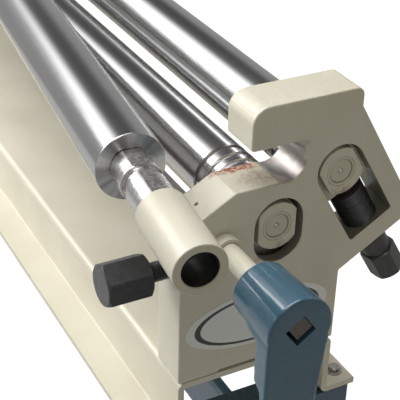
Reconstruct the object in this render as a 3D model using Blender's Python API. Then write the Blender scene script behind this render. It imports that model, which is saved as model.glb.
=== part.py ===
"""Manual plate rolling machine on a folded steel bed and stand.

X runs along the rolls, Y from the front to the back, Z up; the crank is at the +X end.
Sizes are written from the outer face of the crank-side end casting, the front edge of the bed
and the top of the bed. World zero is on the floor, under the middle of the whole machine.
"""

import math

import bmesh
import bpy
from mathutils import Matrix, Vector

MM = 0.001

# Rolls
ROLL_RADIUS = 38.1 * MM
ROLL_BODY_LENGTH = 1326 * MM
ROLL_GAP_RIGHT = 1.5 * MM
ROLL_GAP_LEFT = 6 * MM
JOURNAL_RADIUS = 14.3 * MM
TOP_JOURNAL_RADIUS = 17 * MM
GEAR_SEAT_RADIUS = 12 * MM
JOURNAL_RECESS = 5.5 * MM
CENTRE_SOCKET_RADIUS = 4 * MM
CENTRE_SOCKET_DEPTH = 7 * MM
WIRE_GROOVE_INSETS = (33.5 * MM, 49.5 * MM, 67.5 * MM)
WIRE_GROOVE_DEPTHS = (2.5 * MM, 3.2 * MM, 4 * MM)
WIRE_GROOVE_HALF_WIDTH = 3.6 * MM
ROLL_CHAMFER = 1.2 * MM
# End castings
FRAME_THICK = 52 * MM
FRAME_WIDTH = 200.5 * MM
FRAME_HEIGHT = 319 * MM
FRAME_EDGE = 2 * MM
TOWER_REAR = 210.5 * MM
TOWER_REAR_ROUND = 10 * MM
HOOK_FRONT = 78 * MM
HOOK_ROUND = 19 * MM
MOUTH_TOP = 271.3 * MM
MOUTH_FLOOR = 228.3 * MM
MOUTH_FLOOR_FRONT = 62 * MM
NOSE_HEIGHT = 193.5 * MM
SHOULDER_HEIGHT = 236 * MM
FOOT_RELIEF_FRONT = 47.5 * MM
FOOT_RELIEF_REAR = 148 * MM
FOOT_RELIEF_HEIGHT = 3 * MM
CORNER_ROUND = 3 * MM
# Axes of the rolls and of the drive shaft
SEAT_Y = 122.3 * MM
SEAT_Z = 249.8 * MM
SEAT_RADIUS = 23.2 * MM
LOWER_Y = 116.9 * MM
LOWER_Z = 172.8 * MM
REAR_Y = 193.4 * MM
REAR_Z = 221 * MM
DRIVE_Y = 48.8 * MM
DRIVE_Z = 168.5 * MM
# Slots and bearing blocks
LOWER_SLOT_HALF = 29.7 * MM
LOWER_SLOT_BOTTOM = 130.5 * MM
LOWER_SLOT_TOP = 208 * MM
ARM_TILT = math.radians(30.5)
ARM_REAR_WALL = 53.2 * MM
ARM_END = 113.7 * MM
REAR_SLOT_HALF = 29.6 * MM
REAR_SLOT_RISE = 5.5 * MM
REAR_SLOT_DEPTH = 88.8 * MM
REAR_SLOT_ROUND = 4 * MM
BLOCK_DISC_RADIUS = 28.15 * MM
BLOCK_FLAT_HALF = 23 * MM
BLOCK_RECESS = 4 * MM
BLOCK_DISC_DEPTH = 14 * MM
BLOCK_BACK_DEPTH = 50 * MM
BLOCK_FOOT_Z = 146.1 * MM
REAR_BLOCK_FOOT = 33 * MM
BUSH_WALL = 2.6 * MM
# Adjusting wedges and screws
WEDGE_SLOPE = 0.25
WEDGE_FRONT = 92 * MM
WEDGE_LENGTH = 50 * MM
WEDGE_NEAR = 18 * MM
WEDGE_FAR = 46 * MM
POCKET_FRONT = 66 * MM
POCKET_FLOOR = 118 * MM
SCREW_DEPTH = 26 * MM
FRONT_SCREW_Z = 140 * MM
FRONT_SCREW_RADIUS = 11 * MM
FRONT_SCREW_SHOWN = 26.5 * MM
FRONT_HEX_FLATS = 44 * MM
FRONT_HEX_LENGTH = 51 * MM
REAR_HEX_FLATS = 37 * MM
REAR_HEX_START = 150 * MM
REAR_HEX_LENGTH = 41 * MM
REAR_HEX_TURN = math.radians(10)
HEX_CHAMFER = 3.5 * MM
SPIGOT_RADIUS = 6 * MM
SPIGOT_LENGTH = 12 * MM
REAR_THREAD_RADIUS = 20.5 * MM
REAR_THREAD_START = 39.5 * MM
REAR_THREAD_END = 116 * MM
REAR_SHANK_RADIUS = 17 * MM
REAR_NECK_RADIUS = 11.5 * MM
# Drive shaft and crank
SHAFT_RADIUS = 12 * MM
DRIVE_BUSH_RADIUS = 14.5 * MM
DRIVE_FLANGE_RADIUS = 16.7 * MM
DRIVE_FLANGE_OUT = 14 * MM
COVER_SIDE_FLANGE_OUT = 4 * MM
SQUARE_SIDE = 20 * MM
SQUARE_HOLE = 24 * MM
SQUARE_TURN = math.radians(36)
SQUARE_RECESS = 2 * MM
HUB_FACE = 154 * MM
HUB_BACK = 77 * MM
HUB_FACE_RADIUS = 35.5 * MM
HUB_BACK_RADIUS = 31 * MM
ARM_ROOT_THICK = 23 * MM
ARM_THICK = 11 * MM
ARM_SLOPE_END = 19 * MM
ARM_STEP_START = 64 * MM
ARM_STEP_END = 72 * MM
CRANK_RADIUS = 255 * MM
CRANK_LEAN = math.radians(3.5)
CRANK_TIP_RADIUS = 21 * MM
CRANK_ROOT_HALF = 35 * MM
GRIP_LENGTH = 112 * MM
GRIP_RADIUS = 15 * MM
GRIP_BELLY_SHARE = 1.12
GRIP_BOLT_RADIUS = 6 * MM
GRIP_BOLT_HEAD_RADIUS = 10 * MM
GRIP_BOLT_HEAD = 6 * MM
# Top roll's trunnion and release, lengths measured from the end of the roll's body
TRUNNION_HALF_LENGTH = 11 * MM
TRUNNION_HALF_WIDTH = 24 * MM
TRUNNION_HALF_HEIGHT = 26 * MM
TRUNNION_PIN_RADIUS = 8 * MM
TRUNNION_PIN_LENGTH = 10.5 * MM
WINDOW_SIDE_ROOM = 2 * MM
WINDOW_HEAD_ROOM = 1 * MM
SWING_REACH = 148.8 * MM
RING_START = 1 * MM
RING_END = 36 * MM
RING_RADIUS = 22.9 * MM
NECK_END = 50 * MM
NECK_RADIUS = 19 * MM
BUSH_SHOWN_END = 92.5 * MM
BUSH_RADIUS = 22.25 * MM
BUSH_HIDDEN = 22 * MM
RELEASE_FLAT_HALF = 21.1 * MM
SLEEVE_END = 195 * MM
SLEEVE_RADIUS = 26.8 * MM
SLEEVE_HOLE_RADIUS = 18.3 * MM
TOP_JOURNAL_END = 150 * MM
# Gears
MODULE = 4.8 * MM
ROLL_TEETH = 16
IDLER_TEETH = 12
PINION_TEETH = 14
TOOTH_HALF_SHARES = ((-1.0, 0.24), (0.0, 0.165), (0.8, 0.085))
GEAR_CENTRE_ROOM = 0.4 * MM
GEAR_PLANE_START = 6 * MM
GEAR_WIDTH = 14 * MM
GEAR_PLANE_STEP = 17 * MM
STUD_RADIUS = 9 * MM
STUD_HEAD_RADIUS = 13 * MM
STUD_HEAD = 3 * MM
STUD_DEPTH = 20 * MM
SHAFT_PAST_GEAR = 2.5 * MM
COVER_DEPTH = 44.5 * MM
COVER_WALL = 2 * MM
COVER_FRONT = 6 * MM
COVER_REAR = 172 * MM
COVER_BOTTOM = 117 * MM
COVER_SHOULDER = 232 * MM
COVER_TOP = 306 * MM
COVER_TOP_FRONT = 88 * MM
COVER_ROUND = 8 * MM
# Bed
BED_WIDTH = 200 * MM
BED_DEPTH = 84 * MM
BED_PLATE = 7.4 * MM
BED_BEND = 9 * MM
BED_FLANGE = 40 * MM
# Stand
STAND_HEIGHT = 700 * MM
BEAM_HALF = 132 * MM
BEAM_WIDTH = 50 * MM
KNEE_DROP = 60 * MM
PANEL_BOTTOM = -380 * MM
STAND_PLATE = 4 * MM
STAND_BEND = 6 * MM
LEG_SPREAD = 240 * MM
LEG_WIDTH = 50 * MM
LEG_GAP_ROUND = 20 * MM
FOOT_HALF = 40 * MM
FOOT_PLATE = 8 * MM
FOOT_PAD = 10 * MM
FOOT_PAD_RADIUS = 30 * MM
TIE_HEIGHT = 190 * MM
TIE_WIDTH = 45 * MM
STRETCHER_FLANGE = 17 * MM
STRETCHER_TOP = -266 * MM
STRETCHER_BOTTOM = -353 * MM
STRETCHER_INSET = 11 * MM
# Shared
GAP = 0.3 * MM
OVERRUN = 5 * MM
ROLL_SEGMENTS = 32
SMALL_SEGMENTS = 20
ROUND_STEPS = 3

BODY_RIGHT = -FRAME_THICK - ROLL_GAP_RIGHT
BODY_LEFT = BODY_RIGHT - ROLL_BODY_LENGTH
LEFT_INNER = BODY_LEFT - ROLL_GAP_LEFT
LEFT_OUTER = LEFT_INNER - FRAME_THICK
BUSH_OUTER_RADIUS = JOURNAL_RADIUS + GAP + BUSH_WALL
DOWN_Y = math.sin(ARM_TILT)
DOWN_Z = -math.cos(ARM_TILT)
OUT_Y = math.cos(ARM_TILT)
OUT_Z = math.sin(ARM_TILT)
PIVOT_X = LEFT_OUTER + TRUNNION_HALF_LENGTH
ROLL_ARM = BODY_RIGHT - PIVOT_X
SWING = math.asin(SWING_REACH / ROLL_ARM)
PLANE_TWO = GEAR_PLANE_START + GEAR_PLANE_STEP
GEARS_END = PLANE_TWO + GEAR_WIDTH
HUB_DROP = (SQUARE_HOLE - SQUARE_SIDE) / 2 - GAP
GRIP_END = HUB_FACE + 2 * GAP + GRIP_LENGTH + GRIP_BOLT_HEAD
COVER_OUTER = LEFT_OUTER - GAP - COVER_DEPTH
BED_TOP_HEIGHT = STAND_HEIGHT + BED_DEPTH
OFFSET = Vector((-(COVER_OUTER + GRIP_END) / 2, -BED_WIDTH / 2, BED_TOP_HEIGHT))

CREAM = (0.76, 0.72, 0.6)
BLUE = (0.07, 0.17, 0.26)
STEEL = (0.55, 0.56, 0.57)
BLACK = (0.02, 0.02, 0.02)
BRONZE = (0.45, 0.32, 0.16)
RUBBER = (0.03, 0.03, 0.03)


def clear_scene():
    """Remove whatever the scene holds."""
    for leftover in list(bpy.data.objects):
        bpy.data.objects.remove(leftover, do_unlink=True)


def paint(name, colour, metallic, roughness):
    """Give a piece a material of its own."""
    made = bpy.data.materials.new(name)
    made.use_nodes = True
    shader = made.node_tree.nodes["Principled BSDF"]
    shader.inputs["Base Color"].default_value = (*colour, 1)
    shader.inputs["Metallic"].default_value = metallic
    shader.inputs["Roughness"].default_value = roughness
    return made


def add(name, mesh, origin, colour, metallic=0.0, roughness=0.5, parent=None):
    """Turn a bmesh into an object whose origin is the given point."""
    bmesh.ops.translate(mesh, vec=-Vector(origin), verts=mesh.verts)
    bmesh.ops.recalc_face_normals(mesh, faces=mesh.faces)
    data = bpy.data.meshes.new(name)
    mesh.to_mesh(data)
    mesh.free()
    data.shade_smooth()
    data.set_sharp_from_angle(angle=math.radians(30))
    data.materials.append(paint(name, colour, metallic, roughness))
    piece = bpy.data.objects.new(name, data)
    bpy.context.scene.collection.objects.link(piece)
    piece.location = Vector(origin) if parent else Vector(origin) + OFFSET
    piece.parent = parent
    return piece


def combine(target, tool_mesh, operation, parent=None):
    """Boolean the target with a hidden tool."""
    tool = add(target.name + "_tool", tool_mesh, (0, 0, 0), BLACK, parent=parent)
    tool.hide_render = True
    tool.display_type = "WIRE"
    step = target.modifiers.new(operation.lower(), "BOOLEAN")
    step.operation = operation
    step.solver = "EXACT"
    step.object = tool


def cut(target, tool_mesh, parent=None):
    combine(target, tool_mesh, "DIFFERENCE", parent)


def join(target, tool_mesh, parent=None):
    combine(target, tool_mesh, "UNION", parent)


def common(target, tool_mesh, parent=None):
    combine(target, tool_mesh, "INTERSECT", parent)


def round_edges(target, width):
    """Round the sharp edges of a cast piece."""
    step = target.modifiers.new("edge", "BEVEL")
    step.width = width
    step.segments = 1
    step.limit_method = "ANGLE"
    step.angle_limit = math.radians(40)


def unit(first, second):
    length = math.hypot(second[0] - first[0], second[1] - first[1])
    return (second[0] - first[0]) / length, (second[1] - first[1]) / length


def rounded(corners, steps=ROUND_STEPS):
    """Outline whose corners (a, b, radius) are rounded."""
    points = []
    for index, (a, b, radius) in enumerate(corners):
        if radius == 0:
            points.append((a, b))
            continue
        before = unit((a, b), corners[index - 1])
        after = unit((a, b), corners[(index + 1) % len(corners)])
        half = math.acos(before[0] * after[0] + before[1] * after[1]) / 2
        reach = radius / math.sin(half)
        middle = unit((0, 0), (before[0] + after[0], before[1] + after[1]))
        centre = (a + middle[0] * reach, b + middle[1] * reach)
        back = radius / math.tan(half)
        start = math.atan2(b + before[1] * back - centre[1], a + before[0] * back - centre[0])
        end = math.atan2(b + after[1] * back - centre[1], a + after[0] * back - centre[0])
        turn = (end - start + math.pi) % (2 * math.pi) - math.pi
        for step in range(steps + 1):
            angle = start + turn * step / steps
            points.append((centre[0] + radius * math.cos(angle), centre[1] + radius * math.sin(angle)))
    return points


def arc(a, b, radius, start, end, steps):
    """Points along a circle, ends included."""
    angles = [start + (end - start) * step / steps for step in range(steps + 1)]
    return [(a + radius * math.cos(angle), b + radius * math.sin(angle)) for angle in angles]


def prism(outline, origin, across, up, along, start, end):
    """Extrude an outline along a direction, from start to end."""
    mesh = bmesh.new()
    base = Vector(origin)
    across = Vector(across)
    up = Vector(up)
    along = Vector(along)
    verts = [mesh.verts.new(base + across * a + up * b + along * start) for a, b in outline]
    face = mesh.faces.new(verts)
    grown = bmesh.ops.extrude_face_region(mesh, geom=[face])
    moved = [item for item in grown["geom"] if isinstance(item, bmesh.types.BMVert)]
    bmesh.ops.translate(mesh, vec=along * (end - start), verts=moved)
    return mesh


def prism_x(outline, start, end):
    """Extrude an outline drawn in Y and Z along X."""
    return prism(outline, (0, 0, 0), (0, 1, 0), (0, 0, 1), (1, 0, 0), start, end)


def box(low, high):
    """Plain block between two corners."""
    outline = [(low[1], low[2]), (high[1], low[2]), (high[1], high[2]), (low[1], high[2])]
    return prism_x(outline, low[0], high[0])


def turned(profile, centre, axis, segments, hollow=False):
    """Turn a profile of (distance along the axis, radius) about the axis."""
    mesh = bmesh.new()
    axis = Vector(axis).normalized()
    side = axis.orthogonal().normalized()
    other = axis.cross(side)
    rings = []
    for along, radius in profile:
        middle = Vector(centre) + axis * along
        if radius == 0:
            rings.append([mesh.verts.new(middle)])
            continue
        angles = [2 * math.pi * step / segments for step in range(segments)]
        rings.append([
            mesh.verts.new(middle + (side * math.cos(angle) + other * math.sin(angle)) * radius)
            for angle in angles
        ])
    pairs = list(zip(rings, rings[1:]))
    if hollow:
        pairs.append((rings[-1], rings[0]))
    for first, second in pairs:
        for step in range(segments):
            following = (step + 1) % segments
            corners = [first[step % len(first)], first[following % len(first)]]
            corners += [second[following % len(second)], second[step % len(second)]]
            mesh.faces.new(list(dict.fromkeys(corners)))
    if not hollow:
        for ring in (rings[0], rings[-1]):
            if len(ring) > 1:
                mesh.faces.new(ring)
    return mesh


def tube(centre, axis, inner, outer, start, end, segments=SMALL_SEGMENTS):
    """Plain hollow cylinder."""
    profile = [(start, outer), (end, outer), (end, inner), (start, inner)]
    return turned(profile, centre, axis, segments, hollow=True)


def rod(centre, axis, radius, start, end, segments=SMALL_SEGMENTS):
    """Plain solid cylinder."""
    return turned([(start, radius), (end, radius)], centre, axis, segments)


def folded(path, thickness, bend):
    """Outline of a folded plate, drawn along its middle line."""
    corners = [(a, b, 0 if index in (0, len(path) - 1) else bend) for index, (a, b) in enumerate(path)]
    middle = rounded(corners)
    left = []
    right = []
    for index, (a, b) in enumerate(middle):
        ahead = unit((a, b), middle[index + 1]) if index + 1 < len(middle) else None
        behind = unit(middle[index - 1], (a, b)) if index else None
        first = ahead or behind
        second = behind or ahead
        sway = unit((0, 0), (first[0] + second[0], first[1] + second[1]))
        spread = thickness / 2 / (sway[0] * first[0] + sway[1] * first[1])
        left.append((a - sway[1] * spread, b + sway[0] * spread))
        right.append((a + sway[1] * spread, b - sway[0] * spread))
    return left + right[::-1]


def at(side, depth):
    """X of a place this deep inside the outer face of an end casting."""
    return -depth if side == "right" else LEFT_OUTER + depth


def rear_point(out, down):
    """Point in the arm, from the rear roll's axis, across and down the inclined slot."""
    return REAR_Y + OUT_Y * out + DOWN_Y * down, REAR_Z + OUT_Z * out + DOWN_Z * down


def rear_shape(outline):
    """Place an outline drawn across and down the inclined slot."""
    return [rear_point(out, down) for out, down in outline]


def arm_at_width(y):
    """Place on the arm's lower edge at this Y."""
    out = (y - REAR_Y - DOWN_Y * ARM_END) / OUT_Y
    return rear_point(out, ARM_END)


def arm_back_at(y):
    """Place on the arm's rear edge at this Y."""
    down = (y - REAR_Y - OUT_Y * ARM_REAR_WALL) / DOWN_Y
    return rear_point(ARM_REAR_WALL, down)


def casting_base():
    """Corners of an end casting from its front foot round to the top of its tower."""
    relief = FOOT_RELIEF_HEIGHT
    return [
        (0, 0, CORNER_ROUND),
        (FOOT_RELIEF_FRONT, 0, 0),
        (FOOT_RELIEF_FRONT + relief, relief, 0),
        (FOOT_RELIEF_REAR - relief, relief, 0),
        (FOOT_RELIEF_REAR, 0, 0),
        (FRAME_WIDTH, 0, CORNER_ROUND),
        (*arm_at_width(FRAME_WIDTH), CORNER_ROUND),
        (*rear_point(ARM_REAR_WALL, ARM_END), CORNER_ROUND),
        (*arm_back_at(TOWER_REAR), CORNER_ROUND),
        (TOWER_REAR, FRAME_HEIGHT, TOWER_REAR_ROUND),
    ]


def right_casting_outline():
    """Hooked outline with the open mouth and the round seat."""
    top_angle = math.pi - math.asin((MOUTH_TOP - SEAT_Z) / SEAT_RADIUS)
    floor_angle = -math.pi + math.asin((SEAT_Z - MOUTH_FLOOR) / SEAT_RADIUS)
    seat = arc(SEAT_Y, SEAT_Z, SEAT_RADIUS, top_angle, floor_angle, ROLL_SEGMENTS // 2)
    corners = casting_base()
    corners.append((HOOK_FRONT, FRAME_HEIGHT, HOOK_ROUND))
    corners.append((HOOK_FRONT, MOUTH_TOP, CORNER_ROUND))
    corners += [(y, z, 0) for y, z in seat]
    corners.append((MOUTH_FLOOR_FRONT, MOUTH_FLOOR, CORNER_ROUND))
    corners.append((0, NOSE_HEIGHT, CORNER_ROUND))
    return rounded(corners)


def left_casting_outline():
    """Closed outline of the casting that carries the trunnion."""
    corners = casting_base()
    corners.append((HOOK_FRONT, FRAME_HEIGHT, HOOK_ROUND))
    corners.append((0, SHOULDER_HEIGHT, CORNER_ROUND))
    return rounded(corners)


def lower_slot_outline():
    """Upright slot with round ends."""
    low = LOWER_SLOT_BOTTOM + LOWER_SLOT_HALF
    high = LOWER_SLOT_TOP - LOWER_SLOT_HALF
    top = arc(LOWER_Y, high, LOWER_SLOT_HALF, 0, math.pi, SMALL_SEGMENTS // 2)
    bottom = arc(LOWER_Y, low, LOWER_SLOT_HALF, math.pi, 2 * math.pi, SMALL_SEGMENTS // 2)
    return top + bottom


def rear_slot_outline():
    """Inclined slot: round at the top, square at the bottom."""
    top = arc(0, -REAR_SLOT_RISE, REAR_SLOT_HALF, math.pi, 2 * math.pi, SMALL_SEGMENTS // 2)
    corners = [(out, down, 0) for out, down in top]
    corners.append((REAR_SLOT_HALF, REAR_SLOT_DEPTH, REAR_SLOT_ROUND))
    corners.append((-REAR_SLOT_HALF, REAR_SLOT_DEPTH, REAR_SLOT_ROUND))
    return rear_shape(rounded(corners))


def wedge_top(y):
    """Height of the sloped seat between a wedge and its block."""
    return BLOCK_FOOT_Z - WEDGE_SLOPE * (y - LOWER_Y)


def pocket_outline():
    """Room for the wedge behind the round face of the lower slot."""
    front = LOWER_Y - LOWER_SLOT_HALF
    rear = LOWER_Y + LOWER_SLOT_HALF
    shoulder = LOWER_SLOT_TOP - LOWER_SLOT_HALF
    step = LOWER_SLOT_BOTTOM + LOWER_SLOT_HALF
    return [
        (POCKET_FRONT, POCKET_FLOOR),
        (rear, POCKET_FLOOR),
        (rear, shoulder),
        (front, shoulder),
        (front, step),
        (POCKET_FRONT, step),
    ]


def cut_casting(frame, side):
    """Slots, wedge pocket, screw holes and shaft hole of one casting."""
    outside = at(side, -OVERRUN)
    inside = at(side, FRAME_THICK + OVERRUN)
    cut(frame, prism_x(lower_slot_outline(), outside, inside))
    cut(frame, prism_x(rear_slot_outline(), outside, inside))
    cut(frame, prism_x(pocket_outline(), at(side, BLOCK_DISC_DEPTH), inside))
    screw_x = at(side, SCREW_DEPTH)
    hole = FRONT_SCREW_RADIUS + GAP
    reach = LOWER_Y - LOWER_SLOT_HALF + OVERRUN
    cut(frame, rod((screw_x, 0, FRONT_SCREW_Z), (0, 1, 0), hole, -OVERRUN, reach))
    down = (0, DOWN_Y, DOWN_Z)
    low = REAR_SLOT_DEPTH - OVERRUN
    high = ARM_END + OVERRUN
    cut(frame, rod((screw_x, REAR_Y, REAR_Z), down, REAR_THREAD_RADIUS + GAP, low, high))
    shaft = (0, DRIVE_Y, DRIVE_Z)
    cut(frame, rod(shaft, (1, 0, 0), DRIVE_BUSH_RADIUS + GAP, min(outside, inside), max(outside, inside)))


def build_castings():
    """Both end castings."""
    right = add("end_frame_right", prism_x(right_casting_outline(), -FRAME_THICK, 0), (0, 0, 0), CREAM)
    round_edges(right, FRAME_EDGE)
    cut_casting(right, "right")
    outline = left_casting_outline()
    left = add("end_frame_left", prism_x(outline, LEFT_OUTER, LEFT_INNER), (0, 0, 0), CREAM)
    round_edges(left, FRAME_EDGE)
    cut_casting(left, "left")
    half_y = TRUNNION_HALF_WIDTH + WINDOW_SIDE_ROOM
    half_z = TRUNNION_HALF_HEIGHT + WINDOW_HEAD_ROOM
    low = (LEFT_OUTER - OVERRUN, SEAT_Y - half_y, SEAT_Z - half_z)
    high = (LEFT_INNER + OVERRUN, SEAT_Y + half_y, SEAT_Z + half_z)
    cut(left, box(low, high))
    pin = TRUNNION_HALF_HEIGHT + TRUNNION_PIN_LENGTH + GAP
    centre = (PIVOT_X, SEAT_Y, SEAT_Z)
    cut(left, rod(centre, (0, 0, 1), TRUNNION_PIN_RADIUS + GAP, -pin, pin))
    idler_y, idler_z = idler_centre()
    stud = (LEFT_OUTER, idler_y, idler_z)
    cut(left, rod(stud, (1, 0, 0), STUD_RADIUS + GAP, -OVERRUN, STUD_DEPTH + GAP))


def build_bed():
    """Folded bed, a hat section with its flanges outward."""
    half = BED_PLATE / 2
    low = -BED_DEPTH + half
    path = [
        (-BED_FLANGE, low),
        (half, low),
        (half, -half - GAP),
        (BED_WIDTH - half, -half - GAP),
        (BED_WIDTH - half, low),
        (BED_WIDTH + BED_FLANGE, low),
    ]
    outline = folded(path, BED_PLATE, BED_BEND - half)
    add("bed", prism_x(outline, LEFT_OUTER, 0), (0, 0, 0), CREAM)


def disc_outline():
    """Round face of a bearing block, cut by its two flats."""
    reach = math.asin(BLOCK_FLAT_HALF / BLOCK_DISC_RADIUS)
    quarter = math.pi / 2
    top = arc(0, 0, BLOCK_DISC_RADIUS, quarter - reach, quarter + reach, SMALL_SEGMENTS // 2)
    bottom = arc(0, 0, BLOCK_DISC_RADIUS, -quarter - reach, -quarter + reach, SMALL_SEGMENTS // 2)
    return top + bottom


def build_lower_block(side):
    """Bearing block of the lower roll, sloped underneath for its wedge."""
    half = LOWER_SLOT_HALF - GAP
    top = arc(LOWER_Y, LOWER_Z, half, 0, math.pi, SMALL_SEGMENTS // 2)
    guide = top + [(LOWER_Y - half, wedge_top(LOWER_Y - half)), (LOWER_Y + half, wedge_top(LOWER_Y + half))]
    near = at(side, BLOCK_DISC_DEPTH + GAP)
    far = at(side, BLOCK_BACK_DEPTH)
    origin = (near, LOWER_Y, LOWER_Z)
    block = add("lower_block_" + side, prism_x(guide, near, far), origin, CREAM)
    disc = [(LOWER_Y + a, LOWER_Z + b) for a, b in disc_outline()]
    join(block, prism_x(disc, at(side, BLOCK_RECESS), at(side, BLOCK_DISC_DEPTH + BLOCK_RECESS)))
    bore_block(block, side, LOWER_Y, LOWER_Z)


def bore_block(block, side, y, z):
    """Bore of a bearing block for its bush."""
    ends = sorted((at(side, 0), at(side, FRAME_THICK)))
    cut(block, rod((0, y, z), (1, 0, 0), BUSH_OUTER_RADIUS + GAP, *ends))


def build_rear_block(side):
    """Bearing block of the rear roll, in the inclined slot."""
    half = REAR_SLOT_HALF - GAP
    top = arc(0, 0, half, math.pi, 2 * math.pi, SMALL_SEGMENTS // 2)
    corners = [(out, down, 0) for out, down in top]
    corners.append((half, REAR_BLOCK_FOOT, REAR_SLOT_ROUND + GAP))
    corners.append((-half, REAR_BLOCK_FOOT, REAR_SLOT_ROUND + GAP))
    guide = rear_shape(rounded(corners))
    near = at(side, BLOCK_DISC_DEPTH + GAP)
    far = at(side, BLOCK_BACK_DEPTH)
    origin = (near, REAR_Y, REAR_Z)
    block = add("rear_block_" + side, prism_x(guide, near, far), origin, CREAM)
    disc = rear_shape(disc_outline())
    join(block, prism_x(disc, at(side, BLOCK_RECESS), at(side, BLOCK_DISC_DEPTH + BLOCK_RECESS)))
    bore_block(block, side, REAR_Y, REAR_Z)
    screw = (at(side, SCREW_DEPTH), REAR_Y, REAR_Z)
    down = (0, DOWN_Y, DOWN_Z)
    deep = REAR_BLOCK_FOOT - SPIGOT_LENGTH - GAP
    cut(block, rod(screw, down, SPIGOT_RADIUS + GAP, deep, REAR_BLOCK_FOOT + OVERRUN))


def build_bushes(side):
    """Bronze bushes in the bearing blocks, just behind their round faces."""
    for name, y, z in (("lower", LOWER_Y, LOWER_Z), ("rear", REAR_Y, REAR_Z)):
        ends = sorted((at(side, BLOCK_RECESS + GAP), at(side, BLOCK_BACK_DEPTH)))
        mesh = tube((0, y, z), (1, 0, 0), JOURNAL_RADIUS + GAP, BUSH_OUTER_RADIUS, *ends)
        add(name + "_bush_" + side, mesh, (at(side, BLOCK_BACK_DEPTH), y, z), BRONZE, 1.0, 0.4)


def hex_head(start, end, centre, axis, flats, turn):
    """Hexagon with both ends chamfered, as two meshes to intersect."""
    axis = Vector(axis)
    across = Vector((1, 0, 0))
    corner = flats / math.sqrt(3)
    outline = arc(0, 0, corner, turn, turn + 2 * math.pi * 5 / 6, 5)
    hexagon = prism(outline, centre, across, axis.cross(across), axis, start, end)
    rim = flats / 2 - HEX_CHAMFER / 4
    profile = [
        (start, rim),
        (start + HEX_CHAMFER, corner + GAP),
        (end - HEX_CHAMFER, corner + GAP),
        (end, rim),
    ]
    return hexagon, turned(profile, centre, axis, ROLL_SEGMENTS)


def build_front_screw(side):
    """Screw that pushes the wedge under the lower roll's block."""
    centre = (at(side, SCREW_DEPTH), 0, FRONT_SCREW_Z)
    along = (0, 1, 0)
    start = -FRONT_SCREW_SHOWN - FRONT_HEX_LENGTH
    hexagon, barrel = hex_head(start, -FRONT_SCREW_SHOWN, centre, along, FRONT_HEX_FLATS, 0)
    screw = add("front_screw_" + side, hexagon, centre, BLACK, 0.6, 0.45)
    common(screw, barrel)
    shoulder = WEDGE_FRONT - GAP
    profile = [
        (-FRONT_SCREW_SHOWN - OVERRUN, FRONT_SCREW_RADIUS),
        (shoulder, FRONT_SCREW_RADIUS),
        (shoulder, SPIGOT_RADIUS),
        (WEDGE_FRONT + SPIGOT_LENGTH, SPIGOT_RADIUS),
    ]
    join(screw, turned(profile, centre, along, SMALL_SEGMENTS))


def build_rear_screw(side):
    """Screw that draws the rear roll's block along the inclined slot."""
    centre = (at(side, SCREW_DEPTH), REAR_Y, REAR_Z)
    down = (0, DOWN_Y, DOWN_Z)
    start = REAR_HEX_START
    end = start + REAR_HEX_LENGTH
    hexagon, barrel = hex_head(start, end, centre, down, REAR_HEX_FLATS, -REAR_HEX_TURN)
    screw = add("rear_screw_" + side, hexagon, centre, BLACK, 0.6, 0.45)
    common(screw, barrel)
    neck = REAR_BLOCK_FOOT + GAP
    profile = [
        (REAR_BLOCK_FOOT - SPIGOT_LENGTH, SPIGOT_RADIUS),
        (neck, SPIGOT_RADIUS),
        (neck, REAR_NECK_RADIUS),
        (REAR_THREAD_START, REAR_NECK_RADIUS),
        (REAR_THREAD_START, REAR_THREAD_RADIUS),
        (REAR_THREAD_END, REAR_THREAD_RADIUS),
        (REAR_THREAD_END, REAR_SHANK_RADIUS),
        (start + OVERRUN, REAR_SHANK_RADIUS),
    ]
    join(screw, turned(profile, centre, down, SMALL_SEGMENTS))


def build_wedge(side):
    """Sliding wedge under the lower roll's block."""
    back = WEDGE_FRONT + WEDGE_LENGTH
    floor = POCKET_FLOOR + GAP
    outline = [
        (WEDGE_FRONT, floor),
        (back, floor),
        (back, wedge_top(back) - GAP),
        (WEDGE_FRONT, wedge_top(WEDGE_FRONT) - GAP),
    ]
    near = at(side, WEDGE_NEAR)
    origin = (near, WEDGE_FRONT, floor)
    wedge = add("wedge_" + side, prism_x(outline, near, at(side, WEDGE_FAR)), origin, STEEL, 1.0, 0.4)
    centre = (at(side, SCREW_DEPTH), WEDGE_FRONT, FRONT_SCREW_Z)
    cut(wedge, rod(centre, (0, 1, 0), SPIGOT_RADIUS + GAP, -OVERRUN, SPIGOT_LENGTH + GAP))


def groove(centre, depth):
    """Profile of one wire groove, from left to right."""
    shares = ((-1.0, 0.0), (-0.6, 0.86), (0.6, 0.86), (1.0, 0.0))
    half = WIRE_GROOVE_HALF_WIDTH
    return [(centre + half * wide, ROLL_RADIUS - depth * deep) for wide, deep in shares]


def grooved_body():
    """Profile of a roll's body with its wire grooves near the crank end."""
    profile = [(BODY_LEFT, 0), (BODY_LEFT, ROLL_RADIUS - ROLL_CHAMFER), (BODY_LEFT + ROLL_CHAMFER, ROLL_RADIUS)]
    for inset, depth in reversed(list(zip(WIRE_GROOVE_INSETS, WIRE_GROOVE_DEPTHS))):
        profile += groove(BODY_RIGHT - inset, depth)
    profile += [(BODY_RIGHT - ROLL_CHAMFER, ROLL_RADIUS), (BODY_RIGHT, ROLL_RADIUS - ROLL_CHAMFER), (BODY_RIGHT, 0)]
    return profile


def right_journal():
    """Profile of a journal at the crank end, with its centre socket."""
    end = at("right", JOURNAL_RECESS)
    return [
        (BODY_RIGHT + GAP, 0),
        (BODY_RIGHT + GAP, JOURNAL_RADIUS),
        (end - ROLL_CHAMFER, JOURNAL_RADIUS),
        (end, JOURNAL_RADIUS - ROLL_CHAMFER),
        (end, CENTRE_SOCKET_RADIUS),
        (end - CENTRE_SOCKET_DEPTH, 0),
    ]


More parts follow.
